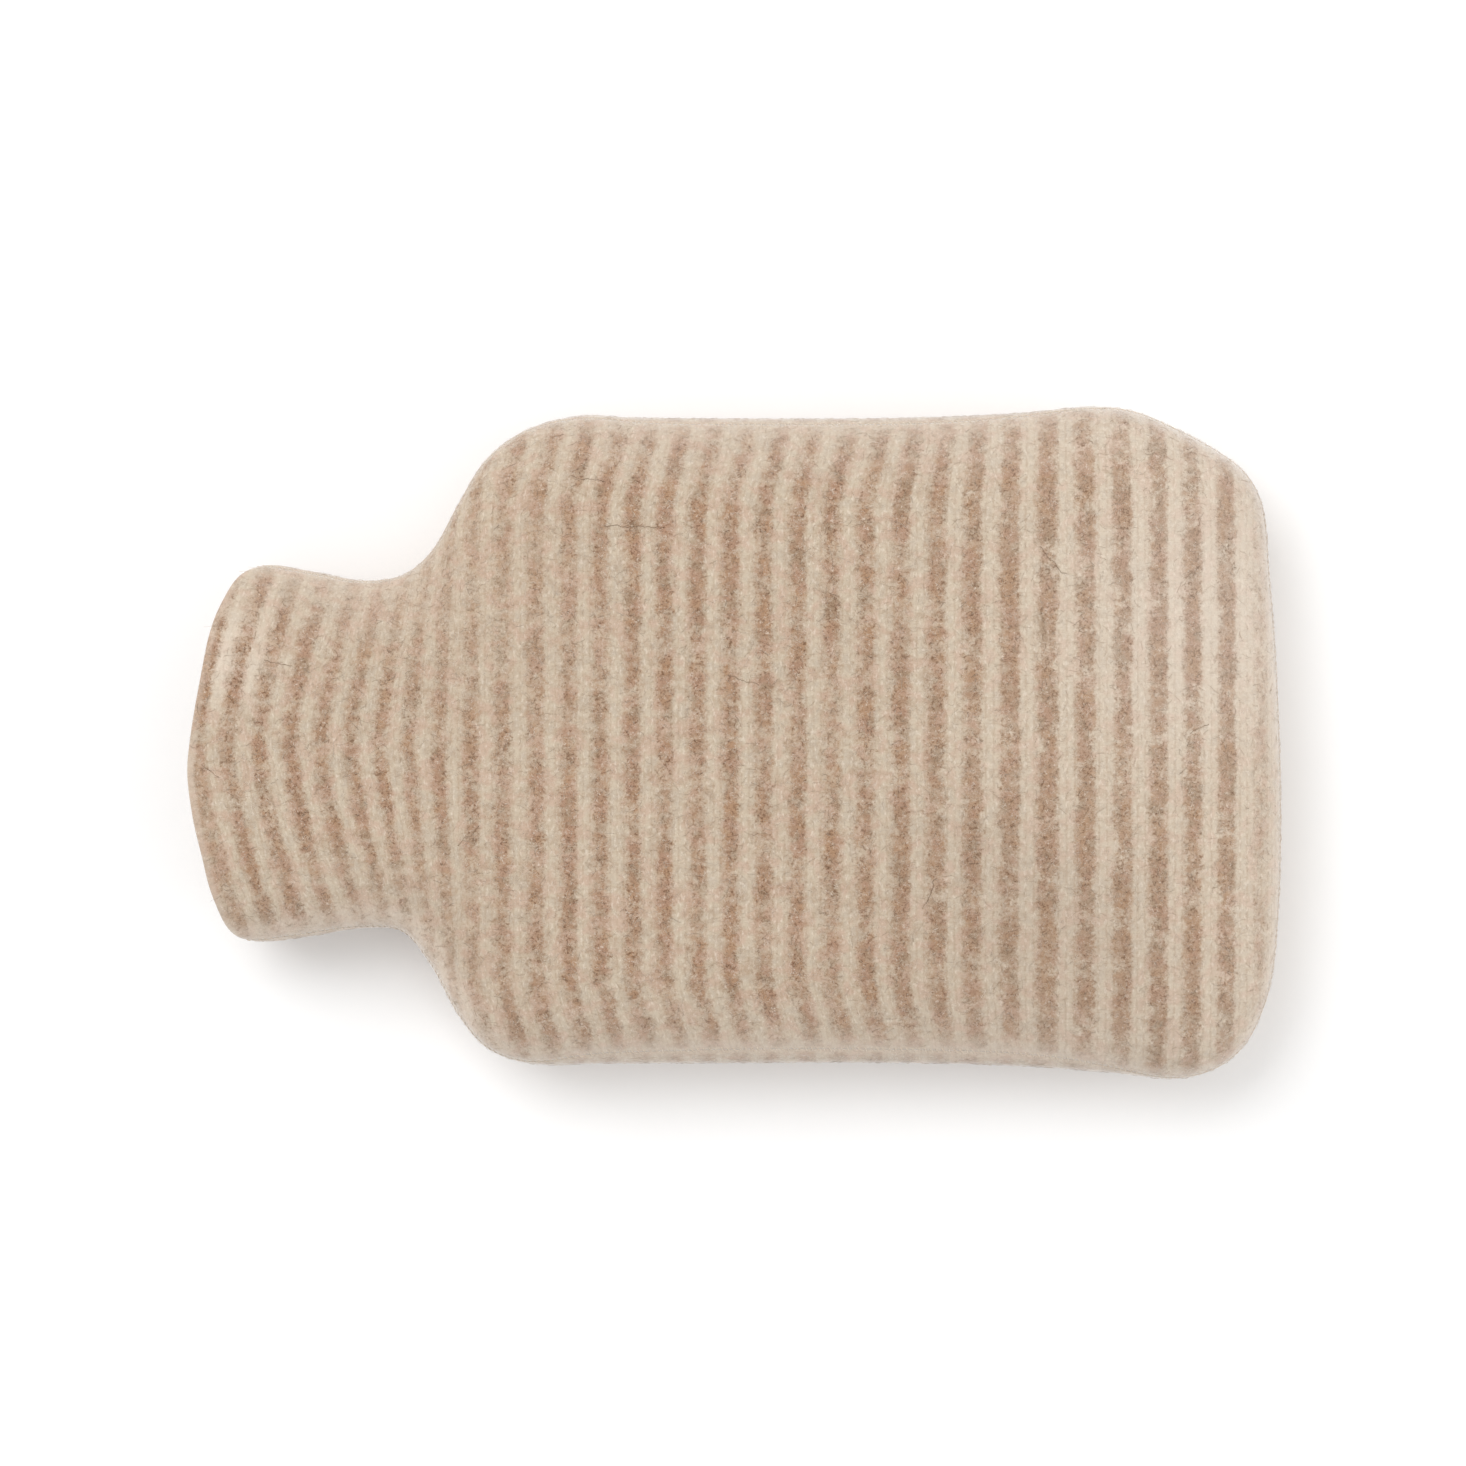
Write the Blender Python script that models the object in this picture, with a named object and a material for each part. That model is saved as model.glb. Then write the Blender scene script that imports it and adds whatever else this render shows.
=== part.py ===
"""Hot water bottle cover in its filled shape, lying on its back.

Two panels of milled wool cloth meet at one seam, which runs from the mouth along one side,
round the base and back along the other side. The neck is open. +X runs from the mouth to the
base, +Y across the cover and +Z up, and the cover rests on z = 0. The tables are in millimetres.
"""

from collections import namedtuple
import math

import bmesh
import bpy
import numpy as np

MM = 0.001

# Driving dimensions, in millimetres unless the comment says otherwise.
WALL = 3.0           # thickness of the milled cloth
SEAM_GAP = 0.32      # room between the panels, along the seam
EDGE_POWER = 2.3     # fullness of the rounded edge, where 2 would be an ellipse
EDGE_BAND = 21.0     # width in plan of the band of rows that follows the outline
CORNER_POWER = 8     # how tightly the rounded edges meet at the corners
MOUTH_REACH = 40.0   # how far the lines of the sides run on past the mouth
BOW_END = -92.0      # the bow of the mouth fades out here
TURN_LENGTH = 34.0   # a radian of turn takes as many points as this length of straight outline
SIDE_CELLS = 30      # cells along each side
BASE_CELLS = 16      # cells along the base
BAND_CELLS = 5       # rows of cells between the seam and the inner edge of the band
RISE_CELLS = 2       # rows of cells of the back panel from the widest line up to the seam
CURVE_STEPS = 10     # points on the smooth outline for each span between table rows
LINE_STEP = 2.0      # spacing of the outline's points for measuring distances

# What a straight side adds up to at unit distance, under CORNER_POWER.
STRAIGHT_PULL = (math.sqrt(math.pi) * math.gamma((CORNER_POWER - 1) / 2)
                 / math.gamma(CORNER_POWER / 2))

# The plan outline, as the cover lies in its filled shape.
Point = namedtuple("Point", "x y")
LOWER_SIDE = [  # from the mouth to the base
    Point(-153.0, -63.6), Point(-140.0, -62.3), Point(-118.0, -59.3), Point(-106.0, -60.6),
    Point(-97.0, -71.2), Point(-88.0, -87.6), Point(-79.0, -97.8), Point(-66.0, -102.6),
    Point(-40.0, -102.7), Point(50.0, -102.5), Point(95.0, -103.7), Point(120.0, -105.6),
    Point(143.0, -107.5), Point(155.5, -103.7), Point(163.5, -96.8),
]
BASE_EDGE = [  # from the lower corner to the upper one
    Point(168.5, -87.5), Point(172.0, -76.0), Point(174.5, -50.0), Point(175.0, -15.0),
    Point(173.4, 28.0), Point(171.5, 52.0), Point(168.8, 77.0),
]
UPPER_SIDE = [  # from the mouth to the base, with the corner drawn in at the base
    Point(-151.5, 56.7), Point(-138.0, 54.9), Point(-119.0, 51.8), Point(-106.0, 53.7),
    Point(-97.0, 60.9), Point(-88.0, 76.6), Point(-80.0, 89.6), Point(-68.0, 99.2),
    Point(-50.0, 104.4), Point(-30.0, 103.9), Point(50.0, 103.8), Point(90.0, 105.3),
    Point(114.0, 107.4), Point(127.0, 106.3), Point(142.0, 100.2), Point(156.0, 92.5),
    Point(163.5, 86.4),
]
MOUTH_EDGE = [  # from the upper corner to the lower one, bowed outwards
    Point(-158.7, 54.0), Point(-164.4, 45.0), Point(-167.9, 36.0), Point(-170.8, 22.0),
    Point(-174.0, 2.0), Point(-174.9, -9.5), Point(-173.1, -24.0), Point(-170.0, -37.0),
    Point(-166.7, -50.0), Point(-161.0, -61.6),
]

# Heights along the cover: the widest line above the surface, the cloth above and below that
# line, and the width of the rounded edge in plan.
Height = namedtuple("Height", "x widest above below edge")
HEIGHTS = [
    Height(-176.0, 27.5, 16.0, 17.0, 38.0),
    Height(-150.0, 27.0, 16.5, 17.5, 38.0),
    Height(-120.0, 26.5, 15.5, 17.5, 38.0),
    Height(-96.0, 26.0, 18.0, 21.0, 42.0),
    Height(-70.0, 25.0, 21.0, 24.0, 46.0),
    Height(-45.0, 24.5, 22.5, 24.5, 48.0),
    Height(100.0, 24.5, 22.5, 24.5, 48.0),
    Height(150.0, 24.5, 22.0, 24.5, 46.0),
    Height(176.0, 24.5, 21.5, 24.5, 44.0),
]

# Soft swells and hollows of the upper face: centre, half length, half width, rise and turn.
Swell = namedtuple("Swell", "x y length width rise turn")
SWELLS = [
    Swell(35.0, 10.0, 105.0, 72.0, 4.2, 0.0),       # the crown of the body
    Swell(92.0, -68.0, 55.0, 25.0, -3.4, -34.0),    # the cloth falls away at one corner
    Swell(112.0, -40.0, 52.0, 14.0, 0.9, -34.0),    # the soft ridge above that fall
    Swell(-142.0, -2.0, 24.0, 36.0, 1.6, 0.0),      # the crown of the neck
    Swell(-103.0, 12.0, 15.0, 42.0, -1.4, 8.0),     # the dip where the neck meets the body
    Swell(-43.0, 7.0, 24.0, 30.0, -0.9, 20.0),
    Swell(-58.0, -24.0, 20.0, 26.0, 0.8, 0.0),
    Swell(18.0, 40.0, 34.0, 20.0, 0.9, 0.0),
    Swell(36.0, 76.0, 26.0, 14.0, -1.0, -10.0),
]

# How far inside the outline the seam lies. It rides up on the long sides of the body.
SeamInset = namedtuple("SeamInset", "x lower upper")
SEAM_INSETS = [
    SeamInset(-176.0, 0.5, 0.5),
    SeamInset(-72.0, 0.5, 0.5),
    SeamInset(-45.0, 3.4, 1.2),
    SeamInset(-15.0, 4.4, 2.2),
    SeamInset(60.0, 4.6, 2.2),
    SeamInset(105.0, 3.6, 1.0),
    SeamInset(140.0, 0.5, 0.5),
    SeamInset(176.0, 0.5, 0.5),
]

CLOTH_COLOUR = (0.52, 0.40, 0.30, 1.0)
CLOTH_ROUGHNESS = 0.95


def clear_scene():
    """Remove every object that the file opened with."""
    for obj in list(bpy.data.objects):
        bpy.data.objects.remove(obj, do_unlink=True)


def cloth_material(name):
    """Plain milled wool."""
    material = bpy.data.materials.new(name)
    material.use_nodes = True
    shader = material.node_tree.nodes["Principled BSDF"]
    shader.inputs["Base Color"].default_value = CLOTH_COLOUR
    shader.inputs["Roughness"].default_value = CLOTH_ROUGHNESS
    shader.inputs["Metallic"].default_value = 0.0
    return material


def table_value(rows, column, x):
    """Read one column of a table at x, along a smooth curve that never overshoots its rows."""
    places = np.array([row.x for row in rows])
    values = np.array([getattr(row, column) for row in rows])
    steps = np.diff(values)
    level = np.concatenate([[False], steps[:-1] * steps[1:] <= 0.0, [False]])
    slopes = np.where(level, 0.0, np.gradient(values, places))
    x = np.clip(x, places[0], places[-1])
    row = np.clip(np.searchsorted(places, x, side="right") - 1, 0, len(rows) - 2)
    span = places[row + 1] - places[row]
    t = (x - places[row]) / span
    return (values[row] * (1 + 2 * t) * (1 - t) ** 2
            + slopes[row] * span * t * (1 - t) ** 2
            + values[row + 1] * t ** 2 * (3 - 2 * t)
            + slopes[row + 1] * span * t ** 2 * (t - 1))


def curve_span(before, start, end, after):
    """One span of a centripetal Catmull-Rom curve, from start up to but not including end."""
    knots = [0.0]
    for a, b in ((before, start), (start, end), (end, after)):
        knots.append(knots[-1] + np.linalg.norm(b - a) ** 0.5)
    k0, k1, k2, k3 = knots
    t = (k1 + (k2 - k1) * np.arange(CURVE_STEPS) / CURVE_STEPS)[:, None]
    a1 = before * (k1 - t) / (k1 - k0) + start * (t - k0) / (k1 - k0)
    a2 = start * (k2 - t) / (k2 - k1) + end * (t - k1) / (k2 - k1)
    a3 = end * (k3 - t) / (k3 - k2) + after * (t - k2) / (k3 - k2)
    b1 = a1 * (k2 - t) / (k2 - k0) + a2 * (t - k0) / (k2 - k0)
    b2 = a2 * (k3 - t) / (k3 - k1) + a3 * (t - k1) / (k3 - k1)
    return b1 * (k2 - t) / (k2 - k1) + b2 * (t - k1) / (k2 - k1)


def outline_edges():
    """The lower side, base, upper side and mouth as smooth lines, each in its table's order."""
    points = np.array(LOWER_SIDE + BASE_EDGE + UPPER_SIDE[::-1] + MOUTH_EDGE)
    count = len(points)
    spans = [curve_span(points[i - 1], points[i], points[(i + 1) % count],
                        points[(i + 2) % count]) for i in range(count)]
    loop = np.concatenate(spans + [points[:1]])
    base_start = len(LOWER_SIDE) - 1
    base_end = base_start + len(BASE_EDGE) + 1
    mouth_start = base_end + len(UPPER_SIDE) - 1
    ends = [row * CURVE_STEPS for row in (0, base_start, base_end, mouth_start, count)]
    lower, base, upper, mouth = [loop[a:b + 1] for a, b in zip(ends, ends[1:])]
    return lower, base, upper[::-1], mouth


def crowded_shares(line, cells):
    """Places along a line, as point numbers, closer together where the line turns."""
    steps = np.diff(line, axis=0)
    lengths = np.linalg.norm(steps, axis=1)
    headings = np.unwrap(np.arctan2(steps[:, 1], steps[:, 0]))
    turns = np.abs(np.gradient(headings))
    weight = np.concatenate([[0.0], np.cumsum(lengths + TURN_LENGTH * turns)])
    return np.interp(np.linspace(0.0, weight[-1], cells + 1), weight, np.arange(len(line)))


def read_line(line, places):
    """Points of a line at fractional point numbers."""
    numbers = np.arange(len(line))
    return np.stack([np.interp(places, numbers, column) for column in line.T], axis=-1)


def evenly_spaced(line, step):
    """A line's points again, at an even spacing near the given step."""
    lengths = np.linalg.norm(np.diff(line, axis=0), axis=1)
    place = np.concatenate([[0.0], np.cumsum(lengths)])
    even = np.linspace(0.0, place[-1], int(place[-1] / step) + 1)
    return read_line(line, np.interp(even, place, np.arange(len(line))))


class Outline:
    """The widest line in plan, as stations from the mouth round the base to the mouth."""

    def __init__(self):
        self.lower, base, self.upper, self.mouth = outline_edges()
        line = np.concatenate([self.lower, base[1:], self.upper[::-1][1:]])
        base_start = len(self.lower) - 1
        upper_start = base_start + len(base) - 1
        places = np.concatenate([
            crowded_shares(self.lower, SIDE_CELLS),
            base_start + crowded_shares(base, BASE_CELLS)[1:],
            upper_start + crowded_shares(self.upper[::-1], SIDE_CELLS)[1:],
        ])
        tangents = np.gradient(line, axis=0)
        normals = np.stack([-tangents[:, 1], tangents[:, 0]], axis=-1)
        normals /= np.linalg.norm(normals, axis=1, keepdims=True)
        normals[0], normals[-1] = (0.0, 1.0), (0.0, -1.0)
        self.stations = read_line(line, places)
        self.inward = read_line(normals, places)
        reach = np.array([-MOUTH_REACH, 0.0])
        whole = np.concatenate([line[:1] + reach, line, line[-1:] + reach])
        self.line = evenly_spaced(whole, LINE_STEP)
        self.seam_insets = self.insets()

    def insets(self):
        """Inset of the seam from the widest line at each station."""
        x = self.stations[:, 0]
        insets = np.full(len(x), SEAM_INSETS[-1].lower)
        insets[:SIDE_CELLS] = table_value(SEAM_INSETS, "lower", x[:SIDE_CELLS])
        insets[-SIDE_CELLS:] = table_value(SEAM_INSETS, "upper", x[-SIDE_CELLS:])
        return insets

    def inset(self, distances):
        """The stations moved into the cover by the given distances."""
        return self.stations + self.inward * distances[:, None]

    def distance(self, points, known=None):
        """Distance in plan from the widest line, with the corners between its sides blended.

        On a straight side it is the plain distance. In the band near the outline it starts
        from the known distance of each row.
        """
        start, end = self.line[:-1], self.line[1:]
        lengths = np.linalg.norm(end - start, axis=1)
        away = np.linalg.norm(points[..., None, :] - (start + end) / 2, axis=-1)
        pull = (lengths * away ** -CORNER_POWER).sum(-1) / STRAIGHT_PULL
        blended = pull ** (1.0 / (1.0 - CORNER_POWER))
        if known is None:
            return blended
        share = known / EDGE_BAND
        share = share * share * (3.0 - 2.0 * share)
        return known * (1.0 - share) + blended * share

    def bowed(self, points):
        """Plan points of the neck drawn out towards the bowed edge of the mouth."""
        x, y = points[..., 0], points[..., 1]
        low = np.interp(x, self.lower[:, 0], self.lower[:, 1])
        high = np.interp(x, self.upper[:, 0], self.upper[:, 1])
        share = np.clip((y - low) / (high - low), 0.0, 1.0)
        first, last = self.mouth[-1], self.mouth[0]
        straight = first + share[..., None] * (last - first)
        mouth = self.mouth[::-1]
        edge_x = np.interp(straight[..., 1], np.maximum.accumulate(mouth[:, 1]), mouth[:, 0])
        fade = np.clip((BOW_END - x) / (BOW_END - straight[..., 0]), 0.0, 1.0)
        fade = fade * fade * (3.0 - 2.0 * fade)
        shift = (edge_x - straight[..., 0]) * fade
        return np.stack([x + shift, y], axis=-1)


def edge_rise(distance, width):
    """Share of the full height that the rounded edge has reached at a distance inside it."""
    rest = 1.0 - np.clip(distance / width, 0.0, 1.0)
    return (1.0 - rest ** EDGE_POWER) ** (1.0 / EDGE_POWER)


def swell_height(x, y):
    """The summed height of the soft swells and hollows of the upper face."""
    total = np.zeros_like(x)
    for swell in SWELLS:
        turn = np.radians(swell.turn)
        dx, dy = x - swell.x, y - swell.y
        lengthwise = (dx * np.cos(turn) + dy * np.sin(turn)) / swell.length
        crosswise = (dy * np.cos(turn) - dx * np.sin(turn)) / swell.width
        total += swell.rise * np.exp(-lengthwise ** 2 - crosswise ** 2)
    return total


def upper_height(x, y, distance):
    """Height of the outer face above the widest line."""
    rise = edge_rise(distance, table_value(HEIGHTS, "edge", x))
    full = table_value(HEIGHTS, "above", x) + swell_height(x, y)
    return table_value(HEIGHTS, "widest", x) + full * rise


def lower_height(x, y, distance):
    """Height of the outer face below the widest line, flat where it rests."""
    rise = edge_rise(distance, table_value(HEIGHTS, "edge", x))
    drop = table_value(HEIGHTS, "below", x) * rise
    return np.maximum(table_value(HEIGHTS, "widest", x) - drop, 0.0)


def raised(outline, plan, height, known=None):
    """Points in space for plan points, on the upper or the lower outer face."""
    distance = outline.distance(plan, known)
    plan = outline.bowed(plan)
    z = height(plan[..., 0], plan[..., 1], distance)
    return np.concatenate([plan, z[..., None]], axis=-1)


def inner_plan(ring):
    """A grid of plan points inside the band, between its sides, its base and the mouth."""
    low = ring[:SIDE_CELLS + 1][:, None]
    base = ring[SIDE_CELLS:SIDE_CELLS + BASE_CELLS + 1][None]
    high = ring[SIDE_CELLS + BASE_CELLS:][::-1][:, None]
    s = np.linspace(0.0, 1.0, SIDE_CELLS + 1)[:, None, None]
    v = np.linspace(0.0, 1.0, BASE_CELLS + 1)[None, :, None]
    across = low * (1 - v) + high * v
    return across + (base - across[-1:]) * s


def grid_border(numbers):
    """Point numbers on a grid's lower side, base and upper side, in the stations' order."""
    return np.concatenate([numbers[:, 0], numbers[-1, 1:], numbers[-2::-1, -1]])


def band_insets(start, end, cells):
    """Insets of the rows of a band at each station, closer together at the outline."""
    share = np.linspace(0.0, 1.0, cells + 1)[:, None]
    return (np.sqrt(start) * (1 - share) + np.sqrt(end) * share) ** 2


def quads(numbers, outwards):
    """Four-sided faces between the rows and columns of a table of point numbers."""
    a, b, c, d = numbers[:-1, :-1], numbers[:-1, 1:], numbers[1:, 1:], numbers[1:, :-1]
    faces = np.stack([a, b, c, d], axis=-1).reshape(-1, 4)
    return faces if outwards else faces[:, ::-1]


class Skin:
    """The outer face of the whole cover, as points and the faces of both panels."""

    def __init__(self):
        self.outline = Outline()
        self.points = np.zeros((0, 3))
        seam_insets = self.outline.seam_insets
        none = np.zeros_like(seam_insets)
        full = np.full_like(seam_insets, EDGE_BAND)
        up = band_insets(seam_insets, full, BAND_CELLS)
        down = band_insets(none, full, BAND_CELLS)
        rise = band_insets(none, seam_insets, RISE_CELLS)

        top = self.add_grid(upper_height)
        rows = [self.add_row(inset, upper_height) for inset in up[:-1]]
        self.front_band = np.array(rows + [grid_border(top)])
        bottom = self.add_grid(lower_height)
        rows = [self.add_row(inset, lower_height) for inset in down[:-1]]
        between = [self.add_row(inset, upper_height) for inset in rise[-2:0:-1]]
        self.back_band = np.array([self.front_band[0]] + between + rows + [grid_border(bottom)])
        self.faces = {
            "front": np.concatenate([quads(top, False), quads(self.front_band, True)]),
            "back": np.concatenate([quads(bottom, True), quads(self.back_band, False)]),
        }

    def add(self, points):
        """Store points and return their numbers."""
        numbers = len(self.points) + np.arange(points[..., 0].size)
        self.points = np.concatenate([self.points, points.reshape(-1, 3)])
        return numbers.reshape(points.shape[:-1])

    def add_row(self, insets, height):
        """Add one row of points that follows the outline."""
        return self.add(raised(self.outline, self.outline.inset(insets), height, insets))

    def add_grid(self, height):
        """Add the grid of points inside the band."""
        ring = self.outline.inset(np.full(len(self.outline.stations), EDGE_BAND))
        return self.add(raised(self.outline, inner_plan(ring), height))

    def normals(self):
        """Smooth outward normals at every point."""
        mesh = bmesh.new()
        verts = [mesh.verts.new(point) for point in self.points]
        for face in np.concatenate([self.faces["front"], self.faces["back"]]):
            mesh.faces.new([verts[k] for k in face])
        mesh.normal_update()
        result = np.array([vert.normal[:] for vert in verts])
        mesh.free()
        return result

    def drawn_back(self, band):
        """The points with the seam row drawn back a little into one panel, for the gap."""
        points = self.points.copy()
        seam = points[band[0]]
        along = np.gradient(seam, axis=0)
        along /= np.linalg.norm(along, axis=1, keepdims=True)
        pull = points[band[1]] - seam
        pull -= along * (pull * along).sum(-1, keepdims=True)
        pull *= (SEAM_GAP / 2) / np.linalg.norm(pull, axis=1, keepdims=True)
        points[band[0]] = seam + pull
        return points


def panel_object(name, points, faces, normals):
    """One panel as a closed wall of cloth: outer face, inner face and the edge between."""
    mesh = bmesh.new()
    used = np.unique(faces)
    outer = {k: mesh.verts.new(points[k] * MM) for k in used}
    inner = {k: mesh.verts.new((points[k] - WALL * normals[k]) * MM) for k in used}
    sides = set()
    for face in faces:
        mesh.faces.new([outer[k] for k in face])
        mesh.faces.new([inner[k] for k in face[::-1]])
        sides.update(zip(face, np.roll(face, -1)))
    for a, b in sorted(sides):
        if (b, a) not in sides:
            mesh.faces.new([outer[b], outer[a], inner[a], inner[b]])
    data = bpy.data.meshes.new(name)
    mesh.to_mesh(data)
    mesh.free()
    data.shade_smooth()
    data.materials.append(cloth_material(name + "_cloth"))
    obj = bpy.data.objects.new(name, data)
    bpy.context.scene.collection.objects.link(obj)
    return obj


def build_cover():
    """Both panels, each its own solid."""
    skin = Skin()
    normals = skin.normals()
    panel_object("front_panel", skin.drawn_back(skin.front_band), skin.faces["front"], normals)
    panel_object("back_panel", skin.drawn_back(skin.back_band), skin.faces["back"], normals)


clear_scene()
build_cover()
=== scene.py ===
"""Hot water bottle cover of milled striped lambswool, lying on its back and seen from above.

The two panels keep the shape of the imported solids, made finer, with a rounded lip at the mouth
and a groove along the seam. Stitches close the seam, and short fibres lie on the cloth. The
tables are in millimetres, and every mesh is in metres.
"""

from collections import namedtuple
import math

import bpy
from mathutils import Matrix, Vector
import numpy as np


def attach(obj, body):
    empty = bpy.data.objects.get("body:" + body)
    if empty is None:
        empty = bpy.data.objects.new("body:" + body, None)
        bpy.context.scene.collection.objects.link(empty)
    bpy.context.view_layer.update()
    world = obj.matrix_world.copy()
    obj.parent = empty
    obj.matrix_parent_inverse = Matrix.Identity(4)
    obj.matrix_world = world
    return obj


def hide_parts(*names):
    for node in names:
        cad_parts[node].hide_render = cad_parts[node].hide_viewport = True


MM = 0.001

# ---- The cover's shape, in millimetres unless the comment says otherwise ----

WALL = 3.0            # thickness of the milled cloth
SEAM_GAP = 0.04       # room between the panels, along the seam
EDGE_POWER = 2.3      # fullness of the rounded edge, where 2 would be an ellipse
EDGE_BAND = 21.0      # width in plan of the band of rows that follows the outline
CORNER_POWER = 8      # how tightly the rounded edges meet at the corners
MOUTH_REACH = 40.0    # how far the lines of the sides run on past the mouth
BOW_END = -92.0       # the bow of the mouth fades out here
TURN_LENGTH = 34.0    # a radian of turn takes as many points as this length of straight outline
SIDE_CELLS = 132      # cells along each side
BASE_CELLS = 84       # cells along the base
BAND_CELLS = 18       # rows of cells between the seam and the inner edge of the band
CROWDING = 1.25       # how much closer together the front panel's rows lie at the seam
RISE_CELLS = 5        # rows of cells of the back panel from the widest line up to the seam
EVENING_ROUNDS = 60   # how often the directions across the outline are evened out
CURVE_STEPS = 10      # points on the smooth outline for each span between table rows
LINE_STEP = 2.0       # spacing of the outline's points for measuring distances
LIP_CELLS = 6         # rows of cells round the lip of the mouth
MOUTH_BACK = 1.2      # the mouth is drawn back by this, as the lens sees its high edge further out
BACK_SHORTER = 3.5    # how far the back panel's mouth stays behind the front panel's
MOUTH_FADE = (-170.0, -135.0)  # that difference fades out along these places
CORNER_FADE = 22.0    # and it grows over this distance from the seam
LIP_BULGE = 1.4       # how far the lip stands out from the cut edge of the cloth
GROOVE_DEPTH = 0.12   # how deep the seam sinks into the cloth
GROOVE_WIDTH = 1.0    # half width of that groove
PRESSED = 0.5         # lower than this the cloth is pressed flat and shows no loose fibres
FAR = 60.0            # stands for any distance past the band, where nothing depends on it

# What a straight side adds up to at unit distance, under CORNER_POWER.
STRAIGHT_PULL = (math.sqrt(math.pi) * math.gamma((CORNER_POWER - 1) / 2)
                 / math.gamma(CORNER_POWER / 2))

# The plan outline as pairs of x and y, as the cover lies in its filled shape.
LOWER_SIDE = [  # from the mouth to the base
    (-153.0, -63.6), (-140.0, -62.3), (-118.0, -59.3), (-106.0, -60.6), (-97.0, -71.2),
    (-88.0, -87.6), (-79.0, -97.8), (-66.0, -102.6), (-40.0, -102.7), (50.0, -102.5),
    (95.0, -103.7), (120.0, -105.6), (143.0, -107.5), (155.5, -103.7), (163.5, -96.8),
]
BASE_EDGE = [  # from the lower corner to the upper one
    (168.5, -87.5), (172.0, -76.0), (174.5, -50.0), (175.0, -15.0), (173.4, 28.0), (171.5, 52.0),
    (168.8, 77.0),
]
UPPER_SIDE = [  # from the mouth to the base, with the corner drawn in at the base
    (-151.5, 56.7), (-138.0, 54.9), (-119.0, 51.8), (-106.0, 53.7), (-97.0, 60.9), (-88.0, 76.6),
    (-80.0, 89.6), (-68.0, 99.2), (-50.0, 104.4), (-30.0, 103.9), (50.0, 103.8), (90.0, 105.3),
    (114.0, 107.4), (127.0, 106.3), (142.0, 100.2), (156.0, 92.5), (163.5, 86.4),
]
MOUTH_EDGE = [  # from the upper corner to the lower one, bowed outwards
    (-158.7, 54.0), (-164.4, 45.0), (-167.9, 36.0), (-170.8, 22.0), (-174.0, 2.0), (-174.9, -9.5),
    (-173.1, -24.0), (-170.0, -37.0), (-166.7, -50.0), (-161.0, -61.6),
]

# Heights along the cover: the widest line above the surface, the cloth above and below that
# line, and the width of the rounded edge in plan.
Height = namedtuple("Height", "x widest above below edge")
HEIGHTS = [
    Height(-176.0, 27.5, 16.0, 17.0, 38.0),
    Height(-150.0, 27.0, 16.5, 17.5, 38.0),
    Height(-120.0, 26.5, 15.5, 17.5, 38.0),
    Height(-96.0, 26.0, 18.0, 21.0, 42.0),
    Height(-70.0, 25.0, 21.0, 24.0, 46.0),
    Height(-45.0, 24.5, 22.5, 24.5, 48.0),
    Height(100.0, 24.5, 22.5, 24.5, 48.0),
    Height(150.0, 24.5, 22.0, 24.5, 46.0),
    Height(176.0, 24.5, 21.5, 24.5, 44.0),
]

# Soft swells and hollows of the upper face: centre, half length, half width, rise and turn.
Swell = namedtuple("Swell", "x y length width rise turn")
SWELLS = [
    Swell(35.0, 10.0, 105.0, 72.0, 4.2, 0.0),       # the crown of the body
    Swell(92.0, -68.0, 55.0, 25.0, -3.4, -34.0),    # the cloth falls away at one corner
    Swell(112.0, -40.0, 52.0, 14.0, 0.9, -34.0),    # the soft ridge above that fall
    Swell(-142.0, -2.0, 24.0, 36.0, 1.6, 0.0),      # the crown of the neck
    Swell(-103.0, 12.0, 15.0, 42.0, -1.4, 8.0),     # the dip where the neck meets the body
    Swell(-43.0, 7.0, 24.0, 30.0, -0.9, 20.0),
    Swell(-58.0, -24.0, 20.0, 26.0, 0.8, 0.0),
    Swell(18.0, 40.0, 34.0, 20.0, 0.9, 0.0),
    Swell(36.0, 76.0, 26.0, 14.0, -1.0, -10.0),
]

# How far inside the outline the seam lies. It rides up on the long sides of the body.
SeamInset = namedtuple("SeamInset", "x lower upper")
SEAM_INSETS = [
    SeamInset(-176.0, 0.5, 0.5),
    SeamInset(-72.0, 0.5, 0.5),
    SeamInset(-45.0, 3.4, 1.2),
    SeamInset(-15.0, 4.4, 2.2),
    SeamInset(60.0, 4.6, 2.2),
    SeamInset(105.0, 3.6, 1.0),
    SeamInset(140.0, 0.5, 0.5),
    SeamInset(176.0, 0.5, 0.5),
]

# ---- The stripes ----

# Every fourth camel stripe, by the middle of its line along the middle of the cover.
Stripe = namedtuple("Stripe", "x number")
STRIPES = [Stripe(x, 4.0 * k) for k, x in enumerate(
    (-170.8, -131.4, -93.8, -52.4, -11.6, 30.9, 75.5, 123.3, 167.5))]
LAST_STRIPE = 32.5    # the base is plain cream past this
PITCH = 11.0          # mean distance between camel stripes
NECK_BOW = 12.0       # how far a stripe of the neck bends back at the sides of the neck
NECK_HALF = 55.0      # half width of the neck, where that is measured
NECK_BOW_POWER = 1.5  # 2 would bend the stripes to a parabola
NECK_BOW_ENDS = (-121.0, -78.0)  # the bow fades out along these places
SIDE_LEAN = 5.6       # how far the stripes of the body lean towards the base at the sides
SIDE_LEAN_ENDS = (72.0, 101.0)   # half widths of the body where the lean starts and is full
SIDE_LEAN_FADE = (40.0, 110.0)   # it fades out along these places
BASE_WRAP = (169.0, 175.0)  # past here the cloth is measured down the end of the cover
BACK_SLIP = 2.6       # the back panel's stripes lie this far towards the mouth at the seam


def smooth_step(low, high, value):
    """0 below low, 1 above high and a smooth rise between."""
    share = np.clip((value - low) / (high - low), 0.0, 1.0)
    return share * share * (3.0 - 2.0 * share)


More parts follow.
